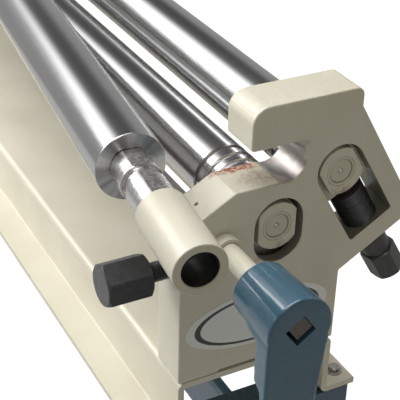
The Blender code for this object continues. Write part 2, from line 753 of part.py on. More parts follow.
def build_lower_and_rear_rolls():
    """Driven lower roll and free rear roll, each with its two journals."""
    gear_end = LEFT_OUTER - GEAR_PLANE_START - GEAR_WIDTH - SHAFT_PAST_GEAR
    step = LEFT_OUTER - GEAR_PLANE_START / 2
    driven = [
        (gear_end, 0),
        (gear_end, GEAR_SEAT_RADIUS),
        (step, GEAR_SEAT_RADIUS),
        (step, JOURNAL_RADIUS),
    ]
    free = [(LEFT_OUTER + JOURNAL_RECESS, 0), (LEFT_OUTER + JOURNAL_RECESS, JOURNAL_RADIUS)]
    shoulder = BODY_LEFT - GAP
    for name, start, y, z in (("lower", driven, LOWER_Y, LOWER_Z), ("rear", free, REAR_Y, REAR_Z)):
        left_journal = start + [(shoulder, JOURNAL_RADIUS), (shoulder, 0)]
        for part, profile, origin in (
            ("roll", grooved_body(), BODY_LEFT),
            ("journal_left", left_journal, BODY_LEFT),
            ("journal_right", right_journal(), BODY_RIGHT),
        ):
            mesh = turned(profile, (0, y, z), (1, 0, 0), ROLL_SEGMENTS)
            add(name + "_" + part, mesh, (origin, y, z), STEEL, 1.0, 0.25)


def build_top_roll(pivot):
    """Top roll, drawn straight from its trunnion."""
    left = BODY_LEFT - PIVOT_X
    right = ROLL_ARM
    gear_start = -TRUNNION_HALF_LENGTH - GEAR_PLANE_START
    gear_end = gear_start - GEAR_WIDTH - SHAFT_PAST_GEAR
    shoulder = gear_start + GEAR_PLANE_START / 2
    profile = [
        (gear_end, 0),
        (gear_end, GEAR_SEAT_RADIUS),
        (shoulder, GEAR_SEAT_RADIUS),
        (shoulder, TOP_JOURNAL_RADIUS),
        (left, TOP_JOURNAL_RADIUS),
        (left, ROLL_RADIUS - ROLL_CHAMFER),
        (left + ROLL_CHAMFER, ROLL_RADIUS),
        (right - ROLL_CHAMFER, ROLL_RADIUS),
        (right, ROLL_RADIUS - ROLL_CHAMFER),
        (right, TOP_JOURNAL_RADIUS),
        (right + TOP_JOURNAL_END, TOP_JOURNAL_RADIUS),
        (right + TOP_JOURNAL_END, 0),
    ]
    mesh = turned(profile, (0, 0, 0), (1, 0, 0), ROLL_SEGMENTS)
    add("top_roll", mesh, (0, 0, 0), STEEL, 1.0, 0.25, pivot)


def build_release(pivot):
    """Bush with two flats and the painted sleeve that turns it."""
    bore = TOP_JOURNAL_RADIUS + GAP
    hidden = BUSH_SHOWN_END + BUSH_HIDDEN
    shape = [
        (RING_START, RING_RADIUS),
        (RING_END, RING_RADIUS),
        (RING_END, NECK_RADIUS),
        (NECK_END, NECK_RADIUS),
        (NECK_END, BUSH_RADIUS),
        (hidden, BUSH_RADIUS),
        (hidden, bore),
        (RING_START, bore),
    ]
    centre = (ROLL_ARM, 0, 0)
    along = (1, 0, 0)
    bush = add("release_bush", turned(shape, centre, along, ROLL_SEGMENTS, True), centre, STEEL, 1.0, 0.3, pivot)
    length = (ROLL_ARM, ROLL_ARM + BUSH_SHOWN_END - GAP)
    for low, high in ((RELEASE_FLAT_HALF, ROLL_RADIUS), (-ROLL_RADIUS, -RELEASE_FLAT_HALF)):
        block = box((length[0], -ROLL_RADIUS, low), (length[1], ROLL_RADIUS, high))
        cut(bush, block, pivot)
    seat = BUSH_RADIUS + GAP
    edge = FRAME_EDGE
    shell = [
        (BUSH_SHOWN_END, seat),
        (BUSH_SHOWN_END, SLEEVE_RADIUS - edge),
        (BUSH_SHOWN_END + edge, SLEEVE_RADIUS),
        (SLEEVE_END - edge, SLEEVE_RADIUS),
        (SLEEVE_END, SLEEVE_RADIUS - edge),
        (SLEEVE_END, SLEEVE_HOLE_RADIUS),
        (hidden + GAP, SLEEVE_HOLE_RADIUS),
        (hidden + GAP, seat),
    ]
    add("release_sleeve", turned(shell, centre, along, ROLL_SEGMENTS, True), centre, CREAM, parent=pivot)


def build_trunnion(pivot):
    """Block in the left casting's window, with its two upright pins."""
    wide = TRUNNION_HALF_WIDTH
    high = TRUNNION_HALF_HEIGHT
    long = TRUNNION_HALF_LENGTH
    block = add("trunnion_block", box((-long, -wide, -high), (long, wide, high)), (0, 0, 0), STEEL, 1.0, 0.4, pivot)
    pin = high + TRUNNION_PIN_LENGTH
    join(block, rod((0, 0, 0), (0, 0, 1), TRUNNION_PIN_RADIUS, -pin, pin), pivot)
    bore = TOP_JOURNAL_RADIUS + GAP
    cut(block, rod((0, 0, 0), (1, 0, 0), bore, -long - OVERRUN, long + OVERRUN, ROLL_SEGMENTS), pivot)


def idler_centre():
    """Place of the idler, in mesh with the top roll's gear and with the pinion."""
    top_reach = MODULE * (ROLL_TEETH + IDLER_TEETH) / 2 + GEAR_CENTRE_ROOM
    drive_reach = MODULE * (PINION_TEETH + IDLER_TEETH) / 2 + GEAR_CENTRE_ROOM
    span = math.hypot(SEAT_Y - DRIVE_Y, SEAT_Z - DRIVE_Z)
    along = (drive_reach ** 2 - top_reach ** 2 + span ** 2) / (2 * span)
    aside = math.sqrt(drive_reach ** 2 - along ** 2)
    way = ((SEAT_Y - DRIVE_Y) / span, (SEAT_Z - DRIVE_Z) / span)
    return DRIVE_Y + way[0] * along - way[1] * aside, DRIVE_Z + way[1] * along + way[0] * aside


def meshed_phase(teeth, phase, other_teeth, bearing):
    """Turn of a gear whose tooth gap meets the tooth of the gear before it."""
    return bearing + math.pi - ((phase - bearing) * teeth - math.pi) / other_teeth


def gear_outline(teeth, phase):
    """Gear rim with slender teeth, drawn about its own centre."""
    points = []
    pitch = 2 * math.pi / teeth
    radius = MODULE * teeth / 2
    for tooth in range(teeth):
        middle = phase + tooth * pitch
        flank = [(radius + MODULE * rise, half * pitch) for rise, half in TOOTH_HALF_SHARES]
        points += [(reach * math.cos(middle - half), reach * math.sin(middle - half)) for reach, half in flank]
        points += [
            (reach * math.cos(middle + half), reach * math.sin(middle + half)) for reach, half in reversed(flank)
        ]
    return points


def gear(name, teeth, phase, centre, bore, start, end, parent=None):
    """One gear with its bore; its origin lies on its axis."""
    outline = gear_outline(teeth, phase)
    mesh = prism(outline, centre, (0, 1, 0), (0, 0, 1), (1, 0, 0), start, end)
    wheel = add(name, mesh, centre, STEEL, 1.0, 0.4, parent)
    ends = sorted((start, end))
    cut(wheel, rod(centre, (1, 0, 0), bore + GAP, ends[0] - OVERRUN, ends[1] + OVERRUN), parent)


def build_gears(pivot):
    """Pinion, idler and the two roll gears."""
    idler_y, idler_z = idler_centre()
    to_idler = math.atan2(idler_z - DRIVE_Z, idler_y - DRIVE_Y)
    pinion_phase = 0
    idler_phase = meshed_phase(PINION_TEETH, pinion_phase, IDLER_TEETH, to_idler)
    shift = (TRUNNION_HALF_LENGTH + GEAR_PLANE_START + GEAR_WIDTH / 2) * math.sin(SWING)
    middle_y = SEAT_Y + shift / 2
    to_top = math.atan2(SEAT_Z - idler_z, middle_y - idler_y)
    top_phase = meshed_phase(IDLER_TEETH, idler_phase, ROLL_TEETH, to_top)
    to_lower = math.atan2(LOWER_Z - SEAT_Z, LOWER_Y - middle_y)
    lower_phase = meshed_phase(ROLL_TEETH, top_phase, ROLL_TEETH, to_lower)
    near = -GEAR_PLANE_START
    far = near - GEAR_WIDTH
    second = -PLANE_TWO
    last = -GEARS_END
    gear("drive_pinion", PINION_TEETH, pinion_phase, (LEFT_OUTER, DRIVE_Y, DRIVE_Z), SHAFT_RADIUS, second, last)
    gear("idler_gear", IDLER_TEETH, idler_phase, (LEFT_OUTER, idler_y, idler_z), STUD_RADIUS, near, last)
    gear("lower_gear", ROLL_TEETH, lower_phase, (LEFT_OUTER, LOWER_Y, LOWER_Z), GEAR_SEAT_RADIUS, near, far)
    inner = -TRUNNION_HALF_LENGTH
    gear("top_gear", ROLL_TEETH, top_phase, (inner, 0, 0), GEAR_SEAT_RADIUS, near, far, pivot)
    stud = [
        (STUD_DEPTH, 0),
        (STUD_DEPTH, STUD_RADIUS),
        (last - GAP, STUD_RADIUS),
        (last - GAP, STUD_HEAD_RADIUS),
        (last - GAP - STUD_HEAD, STUD_HEAD_RADIUS),
        (last - GAP - STUD_HEAD, 0),
    ]
    centre = (LEFT_OUTER, idler_y, idler_z)
    add("idler_stud", turned(stud, centre, (1, 0, 0), SMALL_SEGMENTS), centre, STEEL, 1.0, 0.4)


def cover_corners(inset):
    """Corners of the gear cover, moved inward by a wall."""
    slant = unit((COVER_FRONT, COVER_SHOULDER), (COVER_TOP_FRONT, COVER_TOP))
    rise = inset * (1 - slant[0]) / slant[1]
    reach = inset * (1 - slant[1]) / slant[0]
    return [
        (COVER_FRONT + inset, COVER_BOTTOM + inset, COVER_ROUND - inset),
        (COVER_REAR - inset, COVER_BOTTOM + inset, COVER_ROUND - inset),
        (COVER_REAR - inset, COVER_TOP - inset, COVER_ROUND - inset),
        (COVER_TOP_FRONT + reach, COVER_TOP - inset, COVER_ROUND - inset),
        (COVER_FRONT + inset, COVER_SHOULDER - rise, COVER_ROUND - inset),
    ]


def build_cover():
    """Pressed cover over the gears, open toward the casting."""
    start = LEFT_OUTER - GAP
    cover = add("gear_cover", prism_x(rounded(cover_corners(0)), COVER_OUTER, start), (0, 0, 0), CREAM)
    hollow = prism_x(rounded(cover_corners(COVER_WALL)), COVER_OUTER + COVER_WALL, start + OVERRUN)
    cut(cover, hollow)


def build_drive():
    """Drive shaft with its square end and its two bushes."""
    left = LEFT_OUTER - GEARS_END - SHAFT_PAST_GEAR
    round_end = HUB_BACK - GAP
    centre = (0, DRIVE_Y, DRIVE_Z)
    along = (1, 0, 0)
    shaft = add("drive_shaft", rod(centre, along, SHAFT_RADIUS, left, round_end), centre, STEEL, 1.0, 0.35)
    half = SQUARE_SIDE / 2
    outline = turned_square(half, (DRIVE_Y, DRIVE_Z))
    join(shaft, prism_x(outline, round_end - OVERRUN, HUB_FACE - SQUARE_RECESS))
    for side in ("right", "left"):
        out = DRIVE_FLANGE_OUT if side == "right" else COVER_SIDE_FLANGE_OUT
        profile = [
            (at(side, FRAME_THICK), DRIVE_BUSH_RADIUS),
            (at(side, -GAP), DRIVE_BUSH_RADIUS),
            (at(side, -GAP), DRIVE_FLANGE_RADIUS),
            (at(side, -out), DRIVE_FLANGE_RADIUS),
            (at(side, -out), SHAFT_RADIUS + GAP),
            (at(side, FRAME_THICK), SHAFT_RADIUS + GAP),
        ]
        mesh = turned(profile, centre, along, SMALL_SEGMENTS, hollow=True)
        add("drive_bush_" + side, mesh, (at(side, 0), DRIVE_Y, DRIVE_Z), CREAM)


def turned_square(half, centre):
    """Square turned as the shaft's end is."""
    corners = []
    for quarter in range(4):
        angle = SQUARE_TURN + math.pi / 4 + quarter * math.pi / 2
        reach = half * math.sqrt(2)
        corners.append((centre[0] + reach * math.cos(angle), centre[1] + reach * math.sin(angle)))
    return corners


def hub_centre():
    """Centre of the crank's hub, which hangs on the square end with its play."""
    drop = SQUARE_TURN + math.pi * 5 / 4
    reach = HUB_DROP * math.sqrt(2)
    return DRIVE_Y + reach * math.cos(drop), DRIVE_Z + reach * math.sin(drop)


def crank_ways():
    """Directions across the crank arm and along it, towards the grip."""
    lean = CRANK_LEAN
    side = (0, math.cos(lean), -math.sin(lean))
    down = (0, -math.sin(lean), -math.cos(lean))
    return side, down


def tip_centre():
    """Centre of the crank's tip, where the grip turns."""
    hub_y, hub_z = hub_centre()
    down = crank_ways()[1]
    return hub_y + down[1] * CRANK_RADIUS, hub_z + down[2] * CRANK_RADIUS


def arm_half(down):
    """Half the arm's width at a distance from the hub's centre."""
    return CRANK_ROOT_HALF + (CRANK_TIP_RADIUS - CRANK_ROOT_HALF) * down / CRANK_RADIUS


def build_crank():
    """Crank: round hub with the arm's thick root, the flat bar below it, and the turning grip."""
    hub_y, hub_z = hub_centre()
    tip_y, tip_z = tip_centre()
    side, down = crank_ways()
    hub = (0, hub_y, hub_z)
    origin = (HUB_BACK, DRIVE_Y, DRIVE_Z)
    end = arm_half(ARM_STEP_END)
    root = [(-CRANK_ROOT_HALF, 0), (CRANK_ROOT_HALF, 0), (end, ARM_STEP_END), (-end, ARM_STEP_END)]
    crank = add("crank_hub", prism(root, hub, side, down, (1, 0, 0), HUB_BACK, HUB_FACE), origin, BLUE)
    cut(crank, crank_back_tool(hub))
    profile = [
        (HUB_BACK, HUB_BACK_RADIUS - FRAME_EDGE),
        (HUB_BACK + FRAME_EDGE, HUB_BACK_RADIUS),
        (HUB_FACE - FRAME_EDGE, HUB_FACE_RADIUS),
        (HUB_FACE, HUB_FACE_RADIUS - FRAME_EDGE),
    ]
    join(crank, turned(profile, (0, hub_y, hub_z), (1, 0, 0), ROLL_SEGMENTS))
    hole = turned_square(SQUARE_HOLE / 2, (hub_y, hub_z))
    cut(crank, prism_x(hole, HUB_BACK - OVERRUN, HUB_FACE + OVERRUN))
    start = ARM_STEP_END + GAP
    bar = [(-arm_half(start), start), (arm_half(start), start)]
    bar += arc(0, CRANK_RADIUS, CRANK_TIP_RADIUS, 0, math.pi, SMALL_SEGMENTS // 2)
    back = HUB_FACE - ARM_THICK
    arm = add("crank_arm", prism(bar, hub, side, down, (1, 0, 0), back, HUB_FACE), origin, BLUE)
    bolt_hole = GRIP_BOLT_RADIUS + GAP
    cut(arm, rod((0, tip_y, tip_z), (1, 0, 0), bolt_hole, back - OVERRUN, HUB_FACE + OVERRUN))
    build_grip(tip_y, tip_z)


def crank_back_tool(hub):
    """Everything behind the arm's root, which steps down to the flat bar that clears the sleeve."""
    root_back = HUB_FACE - ARM_ROOT_THICK
    back = HUB_FACE - ARM_THICK
    low = ARM_STEP_END + OVERRUN
    outline = [
        (HUB_BACK - OVERRUN, 0),
        (HUB_BACK, 0),
        (root_back, ARM_SLOPE_END),
        (root_back, ARM_STEP_START),
        (back, ARM_STEP_END),
        (back, low),
        (HUB_BACK - OVERRUN, low),
    ]
    side, down = crank_ways()
    wide = 2 * HUB_FACE_RADIUS
    return prism(outline, hub, (1, 0, 0), down, side, -wide, wide)


def build_grip(y, z):
    """Grip that turns on its bolt."""
    start = HUB_FACE + GAP
    end = start + GRIP_LENGTH
    head = end + GAP
    bore = GRIP_BOLT_RADIUS + GAP
    belly = GRIP_RADIUS * GRIP_BELLY_SHARE
    shape = [
        (start, bore),
        (start, GRIP_RADIUS - FRAME_EDGE),
        (start + FRAME_EDGE, GRIP_RADIUS),
        ((start + end) / 2, belly),
        (end - 2 * FRAME_EDGE, GRIP_RADIUS),
        (end, GRIP_RADIUS - 2 * FRAME_EDGE),
        (end, bore),
    ]
    add("crank_grip", turned(shape, (0, y, z), (1, 0, 0), SMALL_SEGMENTS, True), (start, y, z), RUBBER)
    back = HUB_FACE - ARM_THICK - GAP
    bolt = [
        (back - GRIP_BOLT_HEAD, 0),
        (back - GRIP_BOLT_HEAD, GRIP_BOLT_HEAD_RADIUS),
        (back, GRIP_BOLT_HEAD_RADIUS),
        (back, GRIP_BOLT_RADIUS),
        (head, GRIP_BOLT_RADIUS),
        (head, GRIP_BOLT_HEAD_RADIUS),
        (head + GRIP_BOLT_HEAD - GAP, GRIP_BOLT_HEAD_RADIUS),
        (head + GRIP_BOLT_HEAD - GAP, 0),
    ]
    add("grip_bolt", turned(bolt, (0, y, z), (1, 0, 0), SMALL_SEGMENTS), (back, y, z), STEEL, 1.0, 0.4)


def end_half(z):
    """Half the end panel's width at this height, below its straight top."""
    knee = -BED_DEPTH - KNEE_DROP
    foot = -BED_TOP_HEIGHT
    share = max(0, (knee - z) / (knee - foot))
    return BEAM_HALF + (LEG_SPREAD - BEAM_HALF) * share


def end_panel_outline(inset, top, bottom):
    """Outline of an end frame, straight at the top and spread at the feet."""
    knee = -BED_DEPTH - KNEE_DROP
    lean = math.atan2(LEG_SPREAD - BEAM_HALF, knee + BED_TOP_HEIGHT)
    knee_z = knee - inset * math.tan(lean / 2)
    centre = BED_WIDTH / 2
    upper = BEAM_HALF - inset
    lower = end_half(bottom) - inset / math.cos(lean)
    return [
        (centre - upper, top),
        (centre - upper, knee_z),
        (centre - lower, bottom),
        (centre + lower, bottom),
        (centre + upper, knee_z),
        (centre + upper, top),
    ]


def leg_gap(top, bottom):
    """Opening between the legs, from one height down to another."""
    knee = -BED_DEPTH - KNEE_DROP
    lean = math.atan2(LEG_SPREAD - BEAM_HALF, knee + BED_TOP_HEIGHT)
    centre = BED_WIDTH / 2
    upper = end_half(top) - LEG_WIDTH / math.cos(lean)
    lower = end_half(bottom) - LEG_WIDTH / math.cos(lean)
    return rounded([
        (centre - upper, top, LEG_GAP_ROUND),
        (centre - lower, bottom, LEG_GAP_ROUND),
        (centre + lower, bottom, LEG_GAP_ROUND),
        (centre + upper, top, LEG_GAP_ROUND),
    ])


def build_stand_end(side):
    """Folded end frame: a tray whose panel opens between its two legs, on two foot plates."""
    top = -BED_DEPTH - GAP
    floor = -BED_TOP_HEIGHT + FOOT_PAD + GAP
    foot = floor + FOOT_PLATE
    bottom = foot - STAND_PLATE
    outside = at(side, 0)
    back = at(side, BEAM_WIDTH)
    frame = add("stand_end_" + side, prism_x(end_panel_outline(0, top, bottom), outside, back), (0, 0, 0), BLUE)
    hollow = end_panel_outline(STAND_PLATE, top - STAND_PLATE, bottom - OVERRUN)
    cut(frame, prism_x(hollow, at(side, STAND_PLATE), at(side, BEAM_WIDTH + OVERRUN)))
    tie = floor + TIE_HEIGHT
    for high, low in ((PANEL_BOTTOM, tie + TIE_WIDTH), (tie, -BED_TOP_HEIGHT - TIE_WIDTH)):
        cut(frame, prism_x(leg_gap(high, low), at(side, -OVERRUN), at(side, BEAM_WIDTH + OVERRUN)))
    middle = at(side, BEAM_WIDTH / 2)
    for way in (-1, 1):
        y = BED_WIDTH / 2 + way * (LEG_SPREAD - LEG_WIDTH / 2)
        low = (middle - FOOT_HALF, y - FOOT_HALF, floor)
        high = (middle + FOOT_HALF, y + FOOT_HALF, foot)
        join(frame, box(low, high))


def build_stand():
    """End frames, rear stretcher and rubber foot pads."""
    for side in ("right", "left"):
        build_stand_end(side)
        for word, way in (("front", -1), ("rear", 1)):
            y = BED_WIDTH / 2 + way * (LEG_SPREAD - LEG_WIDTH / 2)
            centre = (at(side, BEAM_WIDTH / 2), y, -BED_TOP_HEIGHT)
            pad = rod(centre, (0, 0, 1), FOOT_PAD_RADIUS, 0, FOOT_PAD)
            add("foot_pad_" + word + "_" + side, pad, centre, RUBBER)
    half = STAND_PLATE / 2
    web = BED_WIDTH / 2 - STRETCHER_INSET
    path = [
        (web + STRETCHER_FLANGE, STRETCHER_TOP - half),
        (web + half, STRETCHER_TOP - half),
        (web + half, STRETCHER_BOTTOM + half),
        (web + STRETCHER_FLANGE, STRETCHER_BOTTOM + half),
    ]
    shape = folded(path, STAND_PLATE, STAND_BEND)
    outline = [(BED_WIDTH / 2 + y, z) for y, z in shape]
    start = LEFT_OUTER + STAND_PLATE + GAP
    add("stretcher", prism_x(outline, start, -STAND_PLATE - GAP), (0, 0, 0), BLUE)


def swing_pivot():
    """Empty on the trunnion's axis; the top roll rests swung out to the front."""
    pivot = bpy.data.objects.new("top_roll_pivot", None)
    bpy.context.scene.collection.objects.link(pivot)
    pivot.location = Vector((PIVOT_X, SEAT_Y, SEAT_Z)) + OFFSET
    pivot.rotation_euler = (0, 0, -SWING)
    return pivot


def build():
    clear_scene()
    pivot = swing_pivot()
    build_bed()
    build_castings()
    for side in ("right", "left"):
        build_lower_block(side)
        build_rear_block(side)
        build_bushes(side)
        build_wedge(side)
        build_front_screw(side)
        build_rear_screw(side)
    build_lower_and_rear_rolls()
    build_top_roll(pivot)
    build_release(pivot)
    build_trunnion(pivot)
    build_gears(pivot)
    build_cover()
    build_drive()
    build_crank()
    build_stand()


build()
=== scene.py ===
import math

import bmesh
import bpy
from mathutils import Matrix, Vector


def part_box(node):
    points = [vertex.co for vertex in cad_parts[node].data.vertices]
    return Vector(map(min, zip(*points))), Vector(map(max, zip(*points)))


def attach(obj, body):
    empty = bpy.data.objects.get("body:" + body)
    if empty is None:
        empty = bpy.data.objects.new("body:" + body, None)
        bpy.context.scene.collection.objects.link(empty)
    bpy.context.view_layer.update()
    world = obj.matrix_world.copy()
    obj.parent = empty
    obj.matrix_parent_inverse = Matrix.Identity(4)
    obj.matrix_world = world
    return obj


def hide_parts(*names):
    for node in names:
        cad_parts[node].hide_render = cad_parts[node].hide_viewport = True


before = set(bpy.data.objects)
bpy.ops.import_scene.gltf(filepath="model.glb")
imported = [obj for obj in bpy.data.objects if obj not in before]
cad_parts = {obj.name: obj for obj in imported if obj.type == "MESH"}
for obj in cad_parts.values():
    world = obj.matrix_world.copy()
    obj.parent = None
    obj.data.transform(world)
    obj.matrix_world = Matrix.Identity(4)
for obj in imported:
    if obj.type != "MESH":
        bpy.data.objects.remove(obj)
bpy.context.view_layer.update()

MM = 0.001
RIGHT_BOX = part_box("end_frame_right")
ZERO = Vector((RIGHT_BOX[1].x, -0.1, RIGHT_BOX[0].z))
LEFT = (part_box("end_frame_left")[0].x - ZERO.x) / MM

# Sizes in millimetres; zero is the front lower corner of the crank-side casting's outer face.
CAST_THICK = 52
CAST_TOP, CAST_BACK, BASE_BACK = 319, 210.5, 200.5
NOSE_Y = 78
MOUTH_TOP, MOUTH_FLOOR, MOUTH_INNER = 271.3, 228.3, 62
LIP_Z = 193.5
ARM_OUT, ARM_FOOT = 53.2, 113.7
SEAT_Y, SEAT_Z, SEAT_R = 122.3, 249.8, 23.2
LOWER_Y, LOWER_Z = 116.9, 172.8
REAR_Y, REAR_Z = 193.4, 221.0
DRIVE_Y, DRIVE_Z = 48.8, 168.5
LOWER_SLOT_R, LOWER_SLOT_TOP, LOWER_SLOT_LOW = 29.7, 208, 130.5
REAR_SLOT_R, REAR_SLOT_TOP, REAR_SLOT_LOW = 29.6, -5.5, 88.8
LOWER_BLOCK_R, LOWER_BLOCK_FOOT, WEDGE_SLOPE = 29.4, 146.1, 0.25
REAR_BLOCK_R, REAR_BLOCK_FOOT = 29.3, 33
BLOCK_FACE_R, BLOCK_FACE_HALF, BLOCK_BORE_R = 28.15, 23, 17.5
SCREW_DEPTH, FRONT_SCREW_Z = 26, 140
ROLL_R, JOURNAL_R, GEAR_SEAT_R = 38.1, 14.3, 12
BUSH_R, FLAT_HALF, SLEEVE_R, SLEEVE_END = 22.25, 21.1, 26.8, 195
SHAFT_R, DRIVE_BUSH_R, DRIVE_FLANGE_R = 12, 14.5, 16.7
SQUARE_HALF, SQUARE_HOLE_HALF = 10, 12
HUB_BACK, HUB_FACE, HUB_DROP, CRANK_REACH = 77, 153.8, 1.7, 255
LABEL_Y, LABEL_Z = 89.7, 35.5
BODY_INSET, ROLL_LENGTH, PIVOT_DEPTH, SWING_OUT = 53.5, 1326, 11, 148.8

# Angles; the square end's turn stays in degrees.
SQUARE_TURN = 36
TILT = math.radians(30.5)
DOWN_Y, DOWN_Z = math.sin(TILT), -math.cos(TILT)
OUT_Y, OUT_Z = math.cos(TILT), math.sin(TILT)
PIVOT_X = LEFT + PIVOT_DEPTH
BODY_RIGHT = -BODY_INSET
BODY_LEFT = BODY_RIGHT - ROLL_LENGTH
ROLL_ARM = BODY_RIGHT - PIVOT_X
SWING = math.asin(SWING_OUT / ROLL_ARM)
LEAN = math.radians(3.5)


def point(x, y, z):
    """World place of a local one in millimetres."""
    return Vector((x, y, z)) * MM + ZERO


def place(x, y, z, turn=None):
    """World matrix of a local frame."""
    return Matrix.Translation(point(x, y, z)) @ (turn or Matrix.Identity(4))


def at(side, depth):
    """X at a depth behind a casting's outer face."""
    return -depth if side == "right" else LEFT + depth


def facing(side):
    """Turn that points +X out of a casting's outer face."""
    return None if side == "right" else Matrix.Rotation(math.pi, 4, "Z")


# Materials ---------------------------------------------------------------

class Nodes:
    """Short way to write a node tree."""

    def __init__(self, tree, place):
        self.tree = tree
        self.place = tree.nodes.new("ShaderNodeTexCoord").outputs[place]

    def link(self, source, target):
        self.tree.links.new(source, target)

    def scaled(self, x, y, z):
        node = self.tree.nodes.new("ShaderNodeMapping")
        node.inputs["Scale"].default_value = (x, y, z)
        self.link(self.place, node.inputs["Vector"])
        return node.outputs["Vector"]

    def around(self, along, outward):
        """Vector that changes along the piece's X and away from it, so noise makes turning marks."""
        x, y, z = self.split()
        return self.joined(self.math("MULTIPLY", x, along), self.math("MULTIPLY", self.length(y, z), outward))

    def joined(self, x, y):
        node = self.tree.nodes.new("ShaderNodeCombineXYZ")
        self.link(x, node.inputs["X"])
        self.link(y, node.inputs["Y"])
        return node.outputs["Vector"]

    def length(self, *parts):
        """Root of the sum of squares."""
        total = None
        for part in parts:
            square = self.math("MULTIPLY", part, part)
            total = square if total is None else self.math("ADD", total, square)
        return self.math("SQRT", total)

    def noise(self, scale, detail, roughness=0.5, vector=None):
        node = self.tree.nodes.new("ShaderNodeTexNoise")
        node.inputs["Scale"].default_value = scale
        node.inputs["Detail"].default_value = detail
        node.inputs["Roughness"].default_value = roughness
        self.link(vector or self.place, node.inputs["Vector"])
        return node.outputs["Fac"]

    def spread(self, value, low, high, to_low=0.0, to_high=1.0):
        node = self.tree.nodes.new("ShaderNodeMapRange")
        node.inputs["From Min"].default_value = low
        node.inputs["From Max"].default_value = high
        node.inputs["To Min"].default_value = to_low
        node.inputs["To Max"].default_value = to_high
        self.link(value, node.inputs["Value"])
        return node.outputs["Result"]

    def math(self, operation, first, second=None):
        node = self.tree.nodes.new("ShaderNodeMath")
        node.operation = operation
        for index, value in enumerate((first, second)):
            if value is None:
                continue
            if isinstance(value, (int, float)):
                node.inputs[index].default_value = value
            else:
                self.link(value, node.inputs[index])
        return node.outputs["Value"]

    def split(self):
        node = self.tree.nodes.new("ShaderNodeSeparateXYZ")
        self.link(self.place, node.inputs["Vector"])
        return node.outputs["X"], node.outputs["Y"], node.outputs["Z"]

    def mix(self, share, first, second):
        node = self.tree.nodes.new("ShaderNodeMix")
        node.data_type = "RGBA"
        for socket, value in ((node.inputs[6], first), (node.inputs[7], second)):
            if isinstance(value, tuple):
                socket.default_value = (*value, 1)
            else:
                self.link(value, socket)
        self.link(share, node.inputs[0])
        return node.outputs[2]


class Graph(Nodes):
    """Short way to write a node material."""

    def __init__(self, name):
        self.material = bpy.data.materials.new(name)
        self.material.use_nodes = True
        super().__init__(self.material.node_tree, "Object")
        self.shader = self.tree.nodes["Principled BSDF"]

    def bump(self, height, strength, distance):
        node = self.tree.nodes.new("ShaderNodeBump")
        node.inputs["Strength"].default_value = strength
        node.inputs["Distance"].default_value = distance
        before = self.shader.inputs["Normal"]
        if before.is_linked:
            self.link(before.links[0].from_socket, node.inputs["Normal"])
        self.link(height, node.inputs["Height"])
        self.link(node.outputs["Normal"], before)

    def colour(self, value):
        if isinstance(value, tuple):
            self.shader.inputs["Base Color"].default_value = (*value, 1)
        else:
            self.link(value, self.shader.inputs["Base Color"])

    def rough(self, value):
        self.link(value, self.shader.inputs["Roughness"])

    def fixed(self, **values):
        for name, value in values.items():
            self.shader.inputs[SOCKETS.get(name, name.title())].default_value = value

    def near(self, centre, radius, stretch=(1, 1, 1)):
        """One at a local place, fading to zero at the radius in millimetres."""
        parts = []
        for axis, value, scale in zip(self.split(), Vector(centre) * MM, stretch):
            parts.append(self.math("MULTIPLY", self.math("SUBTRACT", axis, value), 1 / scale))
        return self.spread(self.length(*parts), 0.0, radius * MM, 1.0, 0.0)


SOCKETS = {
    "coat_weight": "Coat Weight",
    "coat_roughness": "Coat Roughness",
    "specular_ior_level": "Specular IOR Level",
}
ROOM_STOPS = (
    (-1.0, 0.17), (-0.74, 0.13), (-0.60, 0.12), (-0.54, 0.20), (-0.51, 0.10), (-0.45, 0.13), (-0.41, 0.4),
    (-0.36, 1.0), (-0.24, 1.0), (-0.15, 0.8), (-0.09, 0.5), (-0.04, 0.25), (0.02, 0.08), (0.08, 0.045),
    (0.26, 0.03), (0.40, 0.04), (0.52, 0.09), (0.68, 0.22), (1.0, 0.35),
)
ROOM_PEAK = 2.4
ROOM_LOW = 0.165
BAND_START, BAND_FULL = 0.26, 0.40
FLOOR_SEEN, FLOOR_MIRRORED = 0.72, 0.10
WORLD_FILL = (0.285, 0.275, 0.235)
CREAM_LIT = (0.735, 0.70, 0.585)
CREAM_DEEP = (0.66, 0.62, 0.50)
GREASE = (0.26, 0.07, 0.025)
BLUE_LIT = (0.046, 0.128, 0.19)
BLUE_DEEP = (0.036, 0.104, 0.16)
STEEL_TONE, STEEL_ROUGH = 0.56, 0.19


def dimmed(colour, share):
    return tuple(value * share for value in colour)


def cream(name, cast=0.0, stains=(), depth=1.0, coat=0.25):
    """Cream enamel with orange peel, faint grime, and grease at given places."""
    graph = Graph(name)
    broad = graph.spread(graph.noise(9, 4), 0.35, 0.7)
    tone = graph.mix(broad, dimmed(CREAM_LIT, depth), dimmed(CREAM_DEEP, depth))
    specks = graph.spread(graph.noise(1400, 2), 0.71, 0.76)
    tone = graph.mix(graph.math("MULTIPLY", specks, 0.35), tone, (0.33, 0.29, 0.22))
    for centre, radius, stretch, amount in stains:
        near = graph.near(centre, radius, stretch)
        blot = graph.spread(graph.noise(170, 5, 0.65), 0.38, 0.62)
        share = graph.math("MULTIPLY", graph.math("MULTIPLY", near, blot), amount)
        tone = graph.mix(graph.math("MINIMUM", share, 1.0), tone, GREASE)
    graph.colour(tone)
    graph.rough(graph.spread(graph.noise(60, 3), 0.2, 0.8, 0.30, 0.46))
    graph.bump(graph.noise(520, 2), 0.12, 0.0004)
    if cast:
        graph.bump(graph.noise(150, 5, 0.6), cast, 0.0016)
    graph.fixed(coat_weight=coat, coat_roughness=0.18)
    return graph.material


